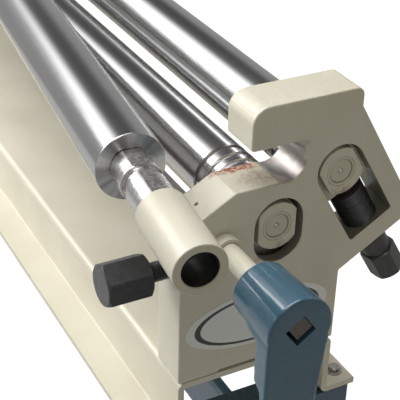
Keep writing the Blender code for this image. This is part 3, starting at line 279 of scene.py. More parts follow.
def blue(name, cast, depth=1.0):
    """Blue-grey enamel over rough casting or folded sheet."""
    graph = Graph(name)
    broad = graph.spread(graph.noise(16, 4), 0.3, 0.7)
    tone = graph.mix(broad, dimmed(BLUE_LIT, depth), dimmed(BLUE_DEEP, depth))
    worn = graph.spread(graph.noise(420, 3), 0.70, 0.76)
    tone = graph.mix(graph.math("MULTIPLY", worn, 0.4), tone, (0.26, 0.34, 0.38))
    graph.colour(tone)
    graph.rough(graph.spread(graph.noise(80, 3), 0.2, 0.8, 0.22, 0.4))
    graph.bump(graph.noise(260, 3), 0.14, 0.0006)
    if cast:
        graph.bump(graph.noise(700, 3, 0.6), cast, 0.0006)
        graph.bump(graph.noise(60, 3, 0.5), 0.12, 0.0014)
    graph.fixed(coat_weight=0.6, coat_roughness=0.07, specular_ior_level=0.35)
    return graph.material


def steel(name, painted_end=None):
    """Ground steel: fine rings from grinding, and paint over its end where the casting was sprayed."""
    graph = Graph(name)
    fine = graph.noise(1.0, 3, 0.6, graph.around(900, 1100))
    long = graph.noise(1.0, 3, 0.5, graph.scaled(3, 45, 45))
    tone = graph.mix(graph.spread(long, 0.3, 0.7), dimmed((1, 1, 1.01), STEEL_TONE), (STEEL_TONE * 0.86,) * 3)
    tone = graph.mix(graph.spread(fine, 0.3, 0.75), tone, dimmed((0.8, 0.79, 0.78), STEEL_TONE))
    if painted_end is None:
        graph.fixed(metallic=1.0)
    else:
        share = graph.math("GREATER_THAN", graph.split()[0], painted_end)
        tone = graph.mix(share, tone, CREAM_DEEP)
        graph.link(graph.math("SUBTRACT", 1.0, share), graph.shader.inputs["Metallic"])
    graph.colour(tone)
    graph.rough(graph.spread(fine, 0.2, 0.8, STEEL_ROUGH * 0.85, STEEL_ROUGH * 1.25))
    graph.bump(fine, 0.05, 0.0002)
    return graph.material


def stained_steel(name):
    """Turned steel of the release bush, smeared with brown grease along its groove."""
    graph = Graph(name)
    fine = graph.noise(1.0, 2, 0.5, graph.around(1500, 1500))
    tone = graph.mix(graph.spread(fine, 0.3, 0.7), (0.66, 0.65, 0.64), (0.56, 0.55, 0.54))
    along = graph.split()[0]
    start = graph.spread(along, (ROLL_ARM + 24) * MM, (ROLL_ARM + 40) * MM)
    end = graph.spread(along, (ROLL_ARM + 52) * MM, (ROLL_ARM + 66) * MM, 1.0, 0.0)
    blot = graph.spread(graph.noise(130, 5, 0.7), 0.5, 0.68, 0.0, 0.7)
    share = graph.math("MULTIPLY", graph.math("MULTIPLY", start, end), blot)
    tone = graph.mix(share, tone, (0.20, 0.085, 0.045))
    graph.colour(tone)
    graph.link(graph.spread(share, 0.0, 1.0, 1.0, 0.35), graph.shader.inputs["Metallic"])
    graph.rough(graph.spread(graph.noise(200, 3), 0.2, 0.8, 0.18, 0.34))
    graph.bump(fine, 0.05, 0.0003)
    return graph.material


def turned_end_painted_reflection(name):
    """Faced end of a roll: painted reflection as cones of light and dark round its axis, and fine rings."""
    graph = Graph(name)
    _, y, z = graph.split()
    reach = graph.length(y, z)
    way = graph.joined(graph.math("DIVIDE", y, reach), graph.math("DIVIDE", z, reach))
    # Painted reflection: light and dark cones by direction round the axis, in the base colour.
    cones = graph.spread(graph.noise(1.7, 2, 0.5, way), 0.34, 0.62)
    rings = graph.noise(1.0, 3, 0.6, graph.around(10, 1500))
    tone = graph.mix(cones, (0.24, 0.235, 0.23), (0.95, 0.94, 0.92))
    tone = graph.mix(graph.spread(rings, 0.35, 0.8, 0.0, 0.5), tone, (0.30, 0.29, 0.28))
    graph.colour(tone)
    graph.rough(graph.spread(rings, 0.2, 0.8, 0.24, 0.36))
    graph.bump(rings, 0.08, 0.0003)
    graph.fixed(metallic=1.0)
    return graph.material


def plain(name, colour, metallic, rough, grain=300, bump=0.08):
    """Small part: slight mottling and grain."""
    graph = Graph(name)
    graph.colour(graph.mix(graph.spread(graph.noise(grain, 3), 0.3, 0.7), colour, dimmed(colour, 0.72)))
    graph.rough(graph.spread(graph.noise(grain * 0.6, 3), 0.2, 0.8, rough * 0.8, rough * 1.2))
    graph.bump(graph.noise(grain * 2, 2), bump, 0.0004)
    graph.fixed(metallic=metallic)
    return graph.material


def label(name):
    """Blank oval plate with one plain ring near its rim."""
    graph = Graph(name)
    _, y, z = graph.split()
    wide = graph.math("MULTIPLY", y, 1 / (LABEL_Y * MM))
    high = graph.math("MULTIPLY", z, 1 / (LABEL_Z * MM))
    far = graph.length(wide, high)
    inner = graph.math("GREATER_THAN", far, 0.80)
    outer = graph.math("LESS_THAN", far, 0.88)
    ring = graph.math("MULTIPLY", inner, outer)
    graph.colour(graph.mix(ring, (0.86, 0.86, 0.86), (0.05, 0.05, 0.05)))
    graph.rough(graph.spread(graph.noise(120, 2), 0.2, 0.8, 0.3, 0.4))
    graph.bump(graph.noise(700, 2), 0.03, 0.0002)
    return graph.material


def floor_glow(graph):
    """Brightness that makes the floor white where it is looked at, and grey in the rolls."""
    path = graph.tree.nodes.new("ShaderNodeLightPath")
    direct = graph.math("MAXIMUM", path.outputs["Is Camera Ray"], path.outputs["Is Transmission Ray"])
    mirrored = graph.math("MULTIPLY", path.outputs["Is Glossy Ray"], FLOOR_MIRRORED)
    return graph.math("MAXIMUM", graph.math("MULTIPLY", direct, FLOOR_SEEN), mirrored)


def floor_material():
    """Pale floor that shows as white and keeps the object's shadow."""
    graph = Graph("floor")
    broad = graph.spread(graph.noise(3, 3), 0.3, 0.7)
    graph.colour(graph.mix(broad, (0.45, 0.45, 0.45), (0.44, 0.44, 0.44)))
    graph.rough(graph.spread(graph.noise(40, 3), 0.2, 0.8, 0.85, 0.95))
    graph.fixed(specular_ior_level=0.1)
    graph.shader.inputs["Emission Color"].default_value = (1, 1, 1, 1)
    graph.link(floor_glow(graph), graph.shader.inputs["Emission Strength"])
    return graph.material


def studio_world():
    """White surround, whose mirror image is a broad soft box against a darker room."""
    world = bpy.data.worlds.new("studio")
    bpy.context.scene.world = world
    world.use_nodes = True
    graph = Nodes(world.node_tree, "Generated")
    _, across, up = graph.split()
    ramp = graph.tree.nodes.new("ShaderNodeValToRGB")
    graph.link(graph.spread(across, -1, 1), ramp.inputs["Fac"])
    while len(ramp.color_ramp.elements) < len(ROOM_STOPS):
        ramp.color_ramp.elements.new(1.0)
    for element, (position, level) in zip(ramp.color_ramp.elements, ROOM_STOPS):
        element.position = (position + 1) / 2
        element.color = (level, level, level, 1)
    walls = graph.mix(graph.spread(up, BAND_START, BAND_FULL), (ROOM_LOW,) * 3, ramp.outputs["Color"])
    room = graph.tree.nodes.new("ShaderNodeVectorMath")
    room.operation = "SCALE"
    room.inputs["Scale"].default_value = ROOM_PEAK
    graph.link(walls, room.inputs["Vector"])
    path = graph.tree.nodes.new("ShaderNodeLightPath")
    fill = graph.mix(path.outputs["Is Glossy Ray"], WORLD_FILL, room.outputs["Vector"])
    direct = graph.math("MAXIMUM", path.outputs["Is Camera Ray"], path.outputs["Is Transmission Ray"])
    final = graph.mix(direct, fill, (1, 1, 1))
    graph.link(final, graph.tree.nodes["Background"].inputs["Color"])


# Shapes ------------------------------------------------------------------

def unit(first, second):
    """Direction from one flat point to another."""
    length = math.hypot(second[0] - first[0], second[1] - first[1])
    return (second[0] - first[0]) / length, (second[1] - first[1]) / length


def rounded(corners, steps=8, closed=True):
    """Polyline whose corners (a, b, radius) are rounded as far as their sides allow."""
    points = []
    count = len(corners)
    for index, (a, b, radius) in enumerate(corners):
        if radius == 0 or (not closed and index in (0, count - 1)):
            points.append((a, b))
            continue
        previous = corners[index - 1]
        following = corners[(index + 1) % count]
        before = unit((a, b), previous)
        after = unit((a, b), following)
        dot = max(-1, min(1, before[0] * after[0] + before[1] * after[1]))
        if dot < -0.9999:
            points.append((a, b))
            continue
        half = math.acos(dot) / 2
        room = min(math.dist((a, b), previous[:2]), math.dist((a, b), following[:2])) * 0.49
        radius = min(radius, room * math.tan(half))
        middle = unit((0, 0), (before[0] + after[0], before[1] + after[1]))
        centre = (a + middle[0] * radius / math.sin(half), b + middle[1] * radius / math.sin(half))
        back = radius / math.tan(half)
        start = math.atan2(b + before[1] * back - centre[1], a + before[0] * back - centre[0])
        end = math.atan2(b + after[1] * back - centre[1], a + after[0] * back - centre[0])
        turn = (end - start + math.pi) % (2 * math.pi) - math.pi
        for step in range(steps + 1):
            angle = start + turn * step / steps
            points.append((centre[0] + radius * math.cos(angle), centre[1] + radius * math.sin(angle)))
    return points


def arc(a, b, radius, start, end, steps):
    angles = [start + (end - start) * step / steps for step in range(steps + 1)]
    return [(a + radius * math.cos(angle), b + radius * math.sin(angle)) for angle in angles]


def add(name, data):
    """Object in the scene."""
    piece = bpy.data.objects.new(name, data)
    bpy.context.scene.collection.objects.link(piece)
    return piece


def raw(mesh, matrix, name="tool", material=None):
    """Loose object from a bmesh drawn in millimetres in its own frame."""
    bmesh.ops.scale(mesh, vec=(MM, MM, MM), verts=mesh.verts)
    bmesh.ops.recalc_face_normals(mesh, faces=mesh.faces)
    data = bpy.data.meshes.new(name)
    mesh.to_mesh(data)
    mesh.free()
    piece = add(name, data)
    piece.matrix_world = matrix
    if material:
        data.materials.append(material)
    return piece


def make(name, mesh, matrix, material, body, node=None, weighted=True):
    """Finished piece from a bmesh."""
    piece = raw(mesh, matrix, name, material)
    finish_piece(piece, body, node, weighted)
    return piece


def finish_piece(piece, body, node=None, weighted=True):
    """Smooth shading, then the body that the piece rides on."""
    piece.data.shade_smooth()
    piece.data.set_sharp_from_angle(angle=math.radians(38))
    if weighted:
        step = piece.modifiers.new("normals", "WEIGHTED_NORMAL")
        step.keep_sharp = True
        step.weight = 80
    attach(piece, body)
    if node:
        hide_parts(node)


def turned_mesh(profile, segments, hollow=False):
    """Profile of (along, radius) turned about X."""
    mesh = bmesh.new()
    rings = []
    for along, radius in profile:
        if radius == 0:
            rings.append([mesh.verts.new((along, 0, 0))])
            continue
        angles = [2 * math.pi * step / segments for step in range(segments)]
        rings.append([mesh.verts.new((along, radius * math.cos(a), radius * math.sin(a))) for a in angles])
    pairs = list(zip(rings, rings[1:]))
    if hollow:
        pairs.append((rings[-1], rings[0]))
    for first, second in pairs:
        for step in range(segments):
            following = (step + 1) % segments
            corners = [first[step % len(first)], first[following % len(first)]]
            corners += [second[following % len(second)], second[step % len(second)]]
            mesh.faces.new(list(dict.fromkeys(corners)))
    if not hollow:
        for ring in (rings[0], rings[-1]):
            if len(ring) > 1:
                mesh.faces.new(ring)
    return mesh


def turned(name, profile, matrix, material, body, node, edge, segments, hollow=False):
    """Turned piece whose corners are slightly rounded."""
    corners = [(a, r, edge) for a, r in profile]
    soft = rounded(corners, 3, hollow)
    return make(name, turned_mesh(soft, segments, hollow), matrix, material, body, node)


def extruded(corners, way):
    """Flat face, drawn out along a vector."""
    mesh = bmesh.new()
    face = mesh.faces.new([mesh.verts.new(corner) for corner in corners])
    grown = bmesh.ops.extrude_face_region(mesh, geom=[face])
    moved = [item for item in grown["geom"] if isinstance(item, bmesh.types.BMVert)]
    bmesh.ops.translate(mesh, vec=way, verts=moved)
    return mesh


def prism_mesh(outline, start, end):
    """Outline in Y and Z, extruded along X."""
    return extruded([(start, y, z) for y, z in outline], (end - start, 0, 0))


def apply_all(piece):
    """Replace a piece's mesh by what its modifiers make of it."""
    graph = bpy.context.evaluated_depsgraph_get()
    data = bpy.data.meshes.new_from_object(piece.evaluated_get(graph))
    piece.modifiers.clear()
    piece.data = data


def paint_where(piece, material, chosen):
    """Second finish on the faces whose centre in millimetres and normal are chosen."""
    piece.data.materials.append(material)
    index = len(piece.data.materials) - 1
    for face in piece.data.polygons:
        if chosen(face.center / MM, face.normal):
            face.material_index = index


def carve(piece, tools, operation="DIFFERENCE"):
    """Cut tools out of a piece, or join them to it, and remove them."""
    for tool in tools:
        step = piece.modifiers.new("carve", "BOOLEAN")
        step.operation = operation
        step.solver = "EXACT"
        step.object = tool
    bpy.context.view_layer.update()
    apply_all(piece)
    for tool in tools:
        bpy.data.objects.remove(tool, do_unlink=True)


def plate(name, outlines, start, end, edge, matrix, material):
    """Plate with holes and rounded edges; outlines in Y and Z, thickness along X."""
    curve = bpy.data.curves.new(name, "CURVE")
    curve.dimensions = "2D"
    curve.fill_mode = "BOTH"
    curve.extrude = ((end - start) / 2 - edge) * MM
    curve.bevel_depth = edge * MM
    curve.bevel_resolution = 3
    curve.offset = -edge * MM
    for outline in outlines:
        spline = curve.splines.new("POLY")
        spline.points.add(len(outline) - 1)
        for place_on, (y, z) in zip(spline.points, outline):
            place_on.co = (y * MM, z * MM, 0, 1)
        spline.use_cyclic_u = True
    carrier = add(name + "_outline", curve)
    bpy.context.view_layer.update()
    graph = bpy.context.evaluated_depsgraph_get()
    data = bpy.data.meshes.new_from_object(carrier.evaluated_get(graph))
    bpy.data.objects.remove(carrier, do_unlink=True)
    turn = Matrix(((0, 0, 1, (start + end) / 2 * MM), (1, 0, 0, 0), (0, 1, 0, 0), (0, 0, 0, 1)))
    data.transform(turn)
    mesh = bmesh.new()
    mesh.from_mesh(data)
    bmesh.ops.remove_doubles(mesh, verts=mesh.verts, dist=0.000002)
    bmesh.ops.recalc_face_normals(mesh, faces=mesh.faces)
    mesh.to_mesh(data)
    mesh.free()
    data.materials.clear()
    data.materials.append(material)
    piece = add(name, data)
    piece.matrix_world = matrix
    return piece


def folded(path, thickness, bend):
    """Outline of a folded plate drawn along its middle line."""
    middle = rounded([(a, b, bend) for a, b in path], closed=False)
    left, right = [], []
    for index, (a, b) in enumerate(middle):
        ahead = unit((a, b), middle[index + 1]) if index + 1 < len(middle) else None
        behind = unit(middle[index - 1], (a, b)) if index else None
        first = ahead or behind
        second = behind or ahead
        sway = unit((0, 0), (first[0] + second[0], first[1] + second[1]))
        spread = thickness / 2 / (sway[0] * first[0] + sway[1] * first[1])
        left.append((a - sway[1] * spread, b + sway[0] * spread))
        right.append((a + sway[1] * spread, b - sway[0] * spread))
    return left + right[::-1]


def rear_point(out, down):
    """Place across and down the inclined slot, from the rear roll's axis."""
    return REAR_Y + OUT_Y * out + DOWN_Y * down, REAR_Z + OUT_Z * out + DOWN_Z * down


def casting_base():
    """Foot, sloped rear arm and top of both castings, as (y, z, radius)."""
    lower_out = (BASE_BACK - REAR_Y - DOWN_Y * ARM_FOOT) / OUT_Y
    back_down = (CAST_BACK - REAR_Y - OUT_Y * ARM_OUT) / DOWN_Y
    return [
        (0, 0, 3), (47.5, 0, 1), (50.5, 3, 1), (145, 3, 1), (148, 0, 1), (BASE_BACK, 0, 3),
        (*rear_point(lower_out, ARM_FOOT), 3),
        (*rear_point(ARM_OUT, ARM_FOOT), 3.5),
        (*rear_point(ARM_OUT, back_down), 4),
        (CAST_BACK, CAST_TOP, 10),
        (NOSE_Y, CAST_TOP, 19),
    ]


def right_outline():
    """Hooked outline with the open mouth and the round seat."""
    top = math.pi - math.asin((MOUTH_TOP - SEAT_Z) / SEAT_R)
    low = -math.pi + math.asin((SEAT_Z - MOUTH_FLOOR) / SEAT_R)
    corners = casting_base() + [(NOSE_Y, MOUTH_TOP, 4)]
    corners += [(y, z, 0) for y, z in arc(SEAT_Y, SEAT_Z, SEAT_R, top, low, 56)]
    corners += [(MOUTH_INNER, MOUTH_FLOOR, 4), (0, LIP_Z, 4)]
    return rounded(corners)


def left_outline():
    """Closed outline with a slope in front."""
    return rounded(casting_base() + [(0, 236, 4)])


def lower_slot():
    top = arc(LOWER_Y, LOWER_SLOT_TOP - LOWER_SLOT_R, LOWER_SLOT_R, 0, math.pi, 32)
    return top + arc(LOWER_Y, LOWER_SLOT_LOW + LOWER_SLOT_R, LOWER_SLOT_R, math.pi, 2 * math.pi, 32)


def inclined(radius, top, foot, bend):
    """Round top and square foot along the inclined slot."""
    corners = [(out, down, 0) for out, down in arc(0, top, radius, math.pi, 2 * math.pi, 32)]
    corners += [(radius, foot, bend), (-radius, foot, bend)]
    return [rear_point(out, down) for out, down in rounded(corners)]


def rear_turn():
    """Turn whose X runs down the inclined slot."""
    return Matrix(((0, -1, 0, 0), (DOWN_Y, 0, OUT_Y, 0), (DOWN_Z, 0, OUT_Z, 0), (0, 0, 0, 1)))


def front_turn():
    """Turn whose X runs from front to back."""
    return Matrix.Rotation(math.pi / 2, 4, "Z")


def build_casting(side):
    """End casting with rounded edges round its outline and slots."""
    stains = []
    if side == "right":
        stains = [
            ((-47, 88, 230), 26, (0.4, 1.7, 0.6), 2.4),
            ((-38, 108, 270), 18, (1, 0.8, 0.5), 2.2),
            ((-2, 136, 268), 14, (1, 1, 0.5), 1.0),
            ((0, 128, 146), 17, (1, 1.2, 0.5), 1.1),
            ((0, 100, 140), 13, (1, 1, 0.6), 0.8),
            ((-20, 104, 229), 24, (1, 1.6, 0.3), 0.7),
        ]
    outlines = [right_outline() if side == "right" else left_outline(), lower_slot()]
    outlines.append(inclined(REAR_SLOT_R, REAR_SLOT_TOP, REAR_SLOT_LOW, 4))
    if side == "left":
        outlines.append(rounded([(96.3, 222.8, 3), (148.3, 222.8, 3), (148.3, 276.8, 3), (96.3, 276.8, 3)]))
    ends = sorted((at(side, 0), at(side, CAST_THICK)))
    look = cream("cream_casting_" + side, 0.16, stains)
    piece = plate("casting_" + side, outlines, *ends, 2.0, place(0, 0, 0), look)
    x = at(side, SCREW_DEPTH)
    front = raw(turned_mesh([(-9, 11.3), (94, 11.3)], 48), place(x, 0, FRONT_SCREW_Z, front_turn()))
    rear = raw(turned_mesh([(80, 20.8), (125, 20.8)], 64), place(x, REAR_Y, REAR_Z, rear_turn()))
    drive = raw(turned_mesh([(ends[0] - 5, 14.8), (ends[1] + 5, 14.8)], 48), place(0, DRIVE_Y, DRIVE_Z))
    pocket_outline = [(66, 118), (146.6, 118), (146.6, 178), (87.2, 178), (87.2, 160), (66, 160)]
    inner = sorted((at(side, 14), at(side, 60)))
    pocket = raw(prism_mesh(pocket_outline, *inner), place(0, 0, 0))
    tools = [front, rear, drive, pocket]
    if side == "right":
        hole = raw(turned_mesh([(-12, 2.4), (12, 2.4)], 24), oil_hole_place())
        tools.append(hole)
    carve(piece, tools)
    # Top faces: rougher cast texture and the same grease, with the cream dimmed to 0.84 as painted shade.
    rough_shaded_top_look = cream("cream_cast_top_painted_shade_" + side, 0.5, stains, 0.84, 0.2)
    paint_where(piece, rough_shaded_top_look, lambda c, n: n.z > 0.5 and c.z > 180)
    # Painted shade: the walls of the block slots get cream dimmed to 0.3.
    slot_painted_shade_look = cream("cream_slot_painted_shade_" + side, 0.2, (), 0.3, 0.1)
    paint_where(piece, slot_painted_shade_look, lambda c, n: abs(n.x) < 0.5 and in_slot(c.y, c.z))
    if side == "right":
        seat_look = plain("seat_steel", (0.36, 0.33, 0.31), 0.9, 0.4, 90, 0.3)
        paint_where(piece, seat_look, lambda c, n: in_seat(c.y, c.z) and abs(n.x) < 0.3)
    finish_piece(piece, "frame", "end_frame_" + side)


def in_seat(y, z):
    """Whether a place is on the wall of the top roll's seat."""
    return math.hypot(y - SEAT_Y, z - SEAT_Z) < SEAT_R + 0.2


def in_slot(y, z):
    """Whether a place is on the wall of a bearing block's slot."""
    if abs(y - LOWER_Y) < LOWER_SLOT_R + 1.3 and LOWER_SLOT_LOW - 1.5 < z < LOWER_SLOT_TOP + 1:
        return True
    away, up = y - REAR_Y, z - REAR_Z
    out = away * OUT_Y + up * OUT_Z
    down = away * DOWN_Y + up * DOWN_Z
    return abs(out) < REAR_SLOT_R + 1.4 and -31 < down < REAR_SLOT_LOW + 1.2


def oil_hole_place():
    """Frame on the slope below the mouth, with X square to it."""
    rise = (MOUTH_FLOOR - LIP_Z) / MOUTH_INNER
    turn = Matrix.Rotation(math.atan(rise), 4, "X") @ Matrix.Rotation(-math.pi / 2, 4, "Y")
    return place(-26, 30.2, LIP_Z + rise * 30.2, turn)


def build_bed():
    """Hat section with two flanges, folded from one sheet."""
    path = [(-40, -80.3), (3.7, -80.3), (3.7, -4.0), (196.3, -4.0), (196.3, -80.3), (240, -80.3)]
    outline = folded(path, 7.4, 5.3)
    make("bed_sheet", prism_mesh(outline, LEFT, 0), place(0, 0, 0), cream("cream_bed"), "frame", "bed")


def groove(centre, depth):
    """Round wire groove near the roll's end."""
    angles = [math.pi * (1 - step / 8) for step in range(9)]
    return [(centre + 3.6 * math.cos(angle), ROLL_R - depth * math.sin(angle)) for angle in angles]


def roll_body():
    """Profile between the journals of a lower or rear roll."""
    profile = [(BODY_LEFT, 36.9), (BODY_LEFT + 1.2, ROLL_R)]
    for inset, depth in ((67.5, 4.0), (49.5, 3.2), (33.5, 2.5)):
        profile += groove(BODY_RIGHT - inset, depth)
    return profile + [(BODY_RIGHT - 1.2, ROLL_R), (BODY_RIGHT, 36.9)]


def build_rolls():
    """Lower roll, whose far journal carries a gear, and rear roll, which turns freely."""
    end = [(BODY_RIGHT, JOURNAL_R), (-6.7, JOURNAL_R), (-5.5, 13.1), (-5.5, 4), (-12.5, 0)]
    gear_end = LEFT - 22.5
    driven = [(gear_end, 0), (gear_end, GEAR_SEAT_R), (LEFT - 3, GEAR_SEAT_R)]
    driven += [(LEFT - 3, JOURNAL_R), (BODY_LEFT, JOURNAL_R)]
    free = [(LEFT + 5.5, 0), (LEFT + 5.5, JOURNAL_R), (BODY_LEFT, JOURNAL_R)]
    look = steel("ground_steel", painted_end=-8 * MM)
    dark = plain("groove_darker_steel", (0.22, 0.20, 0.19), 0.9, 0.4, 200, 0.1)
    for kind, start, y, z in (("lower", driven, LOWER_Y, LOWER_Z), ("rear", free, REAR_Y, REAR_Z)):
        name = kind + "_roll"
        profile = start + roll_body() + end
        mesh = turned_mesh(profile, 128)
        piece = make(name + "_ground", mesh, place(0, y, z), look, name + "_body", name)
        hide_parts(kind + "_journal_right", kind + "_journal_left")
        # Faces deep in the three grooves get a darker steel.
        paint_where(piece, dark, lambda c, n: math.hypot(c.y, c.z) < 36.2 and -125 < c.x < -80)


def top_place():
    """Frame of the top roll, whose X runs along it from the trunnion."""
    return place(PIVOT_X, SEAT_Y, SEAT_Z, Matrix.Rotation(-SWING, 4, "Z"))


def build_top_roll():
    """Top roll, swung out of its seat to the front."""
    left = BODY_LEFT - PIVOT_X
    right = ROLL_ARM
    profile = [
        (-33.5, 0), (-33.5, GEAR_SEAT_R), (-14, GEAR_SEAT_R), (-14, 17), (left, 17), (left, ROLL_R),
        (right, ROLL_R), (right, 17), (right + 150, 17), (right + 150, 0),
    ]
    look = steel("ground_steel_top")
    piece = turned("top_roll_ground", profile, top_place(), look, "top_roll_body", "top_roll", 1.1, 128)
    # The faced end of the roll gets the painted reflection.
    paint_where(piece, turned_end_painted_reflection("faced_end_painted_reflection"), lambda c, n: n.x > 0.9 and c.x < right + 1)


def build_release():
    """Bush with its groove and flats, and the painted sleeve."""
    start = ROLL_ARM
    shape = [
        (start + 1, 22.9), (start + 36, 22.9), (start + 36, 19), (start + 50, 19), (start + 50, BUSH_R),
        (start + 114.5, BUSH_R), (start + 114.5, 17.3), (start + 1, 17.3),
    ]
    soft = rounded([(a, r, 1.1) for a, r in shape], 3)
    look = stained_steel("bush_steel")
    bush = raw(turned_mesh(soft, 128, True), top_place(), "release_bush_turned", look)
    tools = []
    for low, high in ((FLAT_HALF, 40), (-40, -FLAT_HALF)):
        outline = [(-40, low), (40, low), (40, high), (-40, high)]
        tools.append(raw(prism_mesh(outline, start, start + 92.2), top_place()))
    carve(bush, tools)
    finish_piece(bush, "top_release", "release_bush")
    shell = [
        (start + 92.5, 22.6), (start + 92.5, SLEEVE_R), (start + SLEEVE_END, SLEEVE_R),
        (start + SLEEVE_END, 18.3), (start + 114.8, 18.3), (start + 114.8, 22.6),
    ]
    name = "release_sleeve_painted"
    look = cream("cream_sleeve", 0.05, (), 0.8, 0.06)
    piece = turned(name, shell, top_place(), look, "top_release", "release_sleeve", 1.6, 128, True)
    bore = plain("sleeve_bore_steel", (0.20, 0.195, 0.19), 0.9, 0.36, 160, 0.2)
    paint_where(piece, bore, lambda c, n: math.hypot(c.y, c.z) < 19 and c.x < start + SLEEVE_END - 1.4)


def disc():
    """Round face of a bearing block, with a flat on either side."""
    reach = math.asin(BLOCK_FACE_HALF / BLOCK_FACE_R)
    quarter = math.pi / 2
    top = arc(0, 0, BLOCK_FACE_R, quarter - reach, quarter + reach, 24)
    return top + arc(0, 0, BLOCK_FACE_R, -quarter - reach, -quarter + reach, 24)


def build_block(kind, side):
    """Bearing block: recessed round face with flats, guide behind it."""
    y, z = (LOWER_Y, LOWER_Z) if kind == "lower" else (REAR_Y, REAR_Z)
    if kind == "lower":
        rise = WEDGE_SLOPE * LOWER_BLOCK_R
        foot = [(y - LOWER_BLOCK_R, LOWER_BLOCK_FOOT + rise), (y + LOWER_BLOCK_R, LOWER_BLOCK_FOOT - rise)]
        guide = arc(y, z, LOWER_BLOCK_R, 0, math.pi, 32) + foot
        face = [(y + a, z + b) for a, b in disc()]
    else:
        guide = inclined(REAR_BLOCK_R, 0, REAR_BLOCK_FOOT, 4.3)
        face = [rear_point(out, down) for out, down in disc()]
    bore = arc(y, z, BLOCK_BORE_R, 0, 2 * math.pi * 63 / 64, 63)
    stains = [((0, y + 4, z - 26), 16, (1, 1.4, 0.6), 0.8)] if side == "right" else []
    look = cream("cream_" + kind + "_block_" + side, 0.1, stains)
    front = sorted((at(side, 4), at(side, 14.2)))
    back = sorted((at(side, 14.3), at(side, 50)))
    piece = plate(kind + "_block_face_" + side, [face, bore], *front, 0.8, place(0, 0, 0), look)
    body = kind + "_carriage"
    finish_piece(piece, body, kind + "_block_" + side)
    piece = plate(kind + "_block_guide_" + side, [guide, bore], *back, 0.5, place(0, 0, 0), look)
    if kind == "rear":
        spigot = place(at(side, SCREW_DEPTH), y, z, rear_turn())
        carve(piece, [raw(turned_mesh([(20.7, 6.3), (38, 6.3)], 32), spigot)])
    finish_piece(piece, body)
    ring = [(4.3, 14.6), (4.3, 17.2), (50, 17.2), (50, 14.6)]
    place_ring = place(at(side, 0), y, z, facing(side)) @ Matrix.Rotation(math.pi, 4, "Z")
    name = kind + "_bush_turned_" + side
    bush_look = cream("cream_" + kind + "_bush_" + side)
    turned(name, ring, place_ring, bush_look, body, kind + "_bush_" + side, 0.5, 64, True)


def six_sided(flats, turn):
    """Hexagon by its width over flats."""
    return arc(0, 0, flats / math.sqrt(3), turn, turn + 2 * math.pi * 5 / 6, 5)


def hexagon(start, end, matrix, name, material, flats, turn):
    """Chamfered hexagonal head along X."""
    corner = flats / math.sqrt(3)
    mesh = prism_mesh(six_sided(flats, turn), start, end)
    upright = [edge for edge in mesh.edges if abs((edge.verts[0].co - edge.verts[1].co).x) > 1]
    bmesh.ops.bevel(mesh, geom=upright, offset=0.8, segments=2, affect="EDGES", clamp_overlap=True)
    head = raw(mesh, matrix, name, material)
    rim = flats / 2 - 0.8
    barrel = [(start, rim), (start + 3.6, corner + 0.4), (end - 3.6, corner + 0.4), (end, rim)]
    carve(head, [raw(turned_mesh(barrel, 96), matrix)], "INTERSECT")
    return head


def thread_mesh(start, end, radius, pitch, depth):
    """Screw thread as a wound groove, with plain ends."""
    mesh = bmesh.new()
    segments = 48
    rows = max(2, int((end - start) / pitch * 8))
    rings = []
    for row in range(rows + 1):
        along = start + (end - start) * row / rows
        ring = []
        for step in range(segments):
            angle = 2 * math.pi * step / segments
            phase = (along / pitch - step / segments) % 1
            dip = depth * max(0, 1 - abs(phase - 0.5) * 3.2)
            reach = radius - (dip if 0 < row < rows else 0)
            ring.append(mesh.verts.new((along, reach * math.cos(angle), reach * math.sin(angle))))
        rings.append(ring)
    for first, second in zip(rings, rings[1:]):
        for step in range(segments):
            following = (step + 1) % segments
            mesh.faces.new((first[step], first[following], second[following], second[step]))
    mesh.faces.new(rings[0])
    mesh.faces.new(rings[-1])
    return mesh


def build_screws(side):
    """Black adjusting screws with hexagonal heads."""
    black = plain("black_oxide_" + side, (0.075, 0.075, 0.077), 0.5, 0.38, 160, 0.12)
    end_look = plain("black_end_" + side, (0.12, 0.12, 0.125), 0.6, 0.42, 220, 0.1)
    x = at(side, SCREW_DEPTH)
    front = place(x, 0, FRONT_SCREW_Z, front_turn())
    body = "front_screw_" + side + "_body"
    head = hexagon(-77.5, -26.5, front, "front_screw_head_" + side, black, 44, math.pi / 2)
    paint_where(head, end_look, lambda c, n: c.x < -77.1)
    finish_piece(head, body, "front_screw_" + side, weighted=False)
    thread = thread_mesh(-28, 91.7, 10.9, 3, 1.5)
    make("front_screw_thread_" + side, thread, front, black, body, weighted=False)
    tip = turned_mesh([(91, 6), (104, 6)], 32)
    make("front_screw_tip_" + side, tip, front, black, body)
    rear = place(x, REAR_Y, REAR_Z, rear_turn())
    body = "rear_screw_" + side + "_body"
    head = hexagon(150, 191, rear, "rear_screw_head_" + side, black, 37, -math.radians(10))
    finish_piece(head, body, "rear_screw_" + side, weighted=False)
    thread = thread_mesh(39.5, 116, 20.4, 4, 2.0)
    make("rear_screw_thread_" + side, thread, rear, black, body, weighted=False)
    neck = [(21, 6), (33.3, 6), (33.3, 11.5), (40, 11.5)]
    turned("rear_screw_neck_" + side, neck, rear, black, body, None, 0.4, 48)
    shank = [(115, 17), (151, 17)]
    turned("rear_screw_shank_" + side, shank, rear, black, body, None, 0, 64)


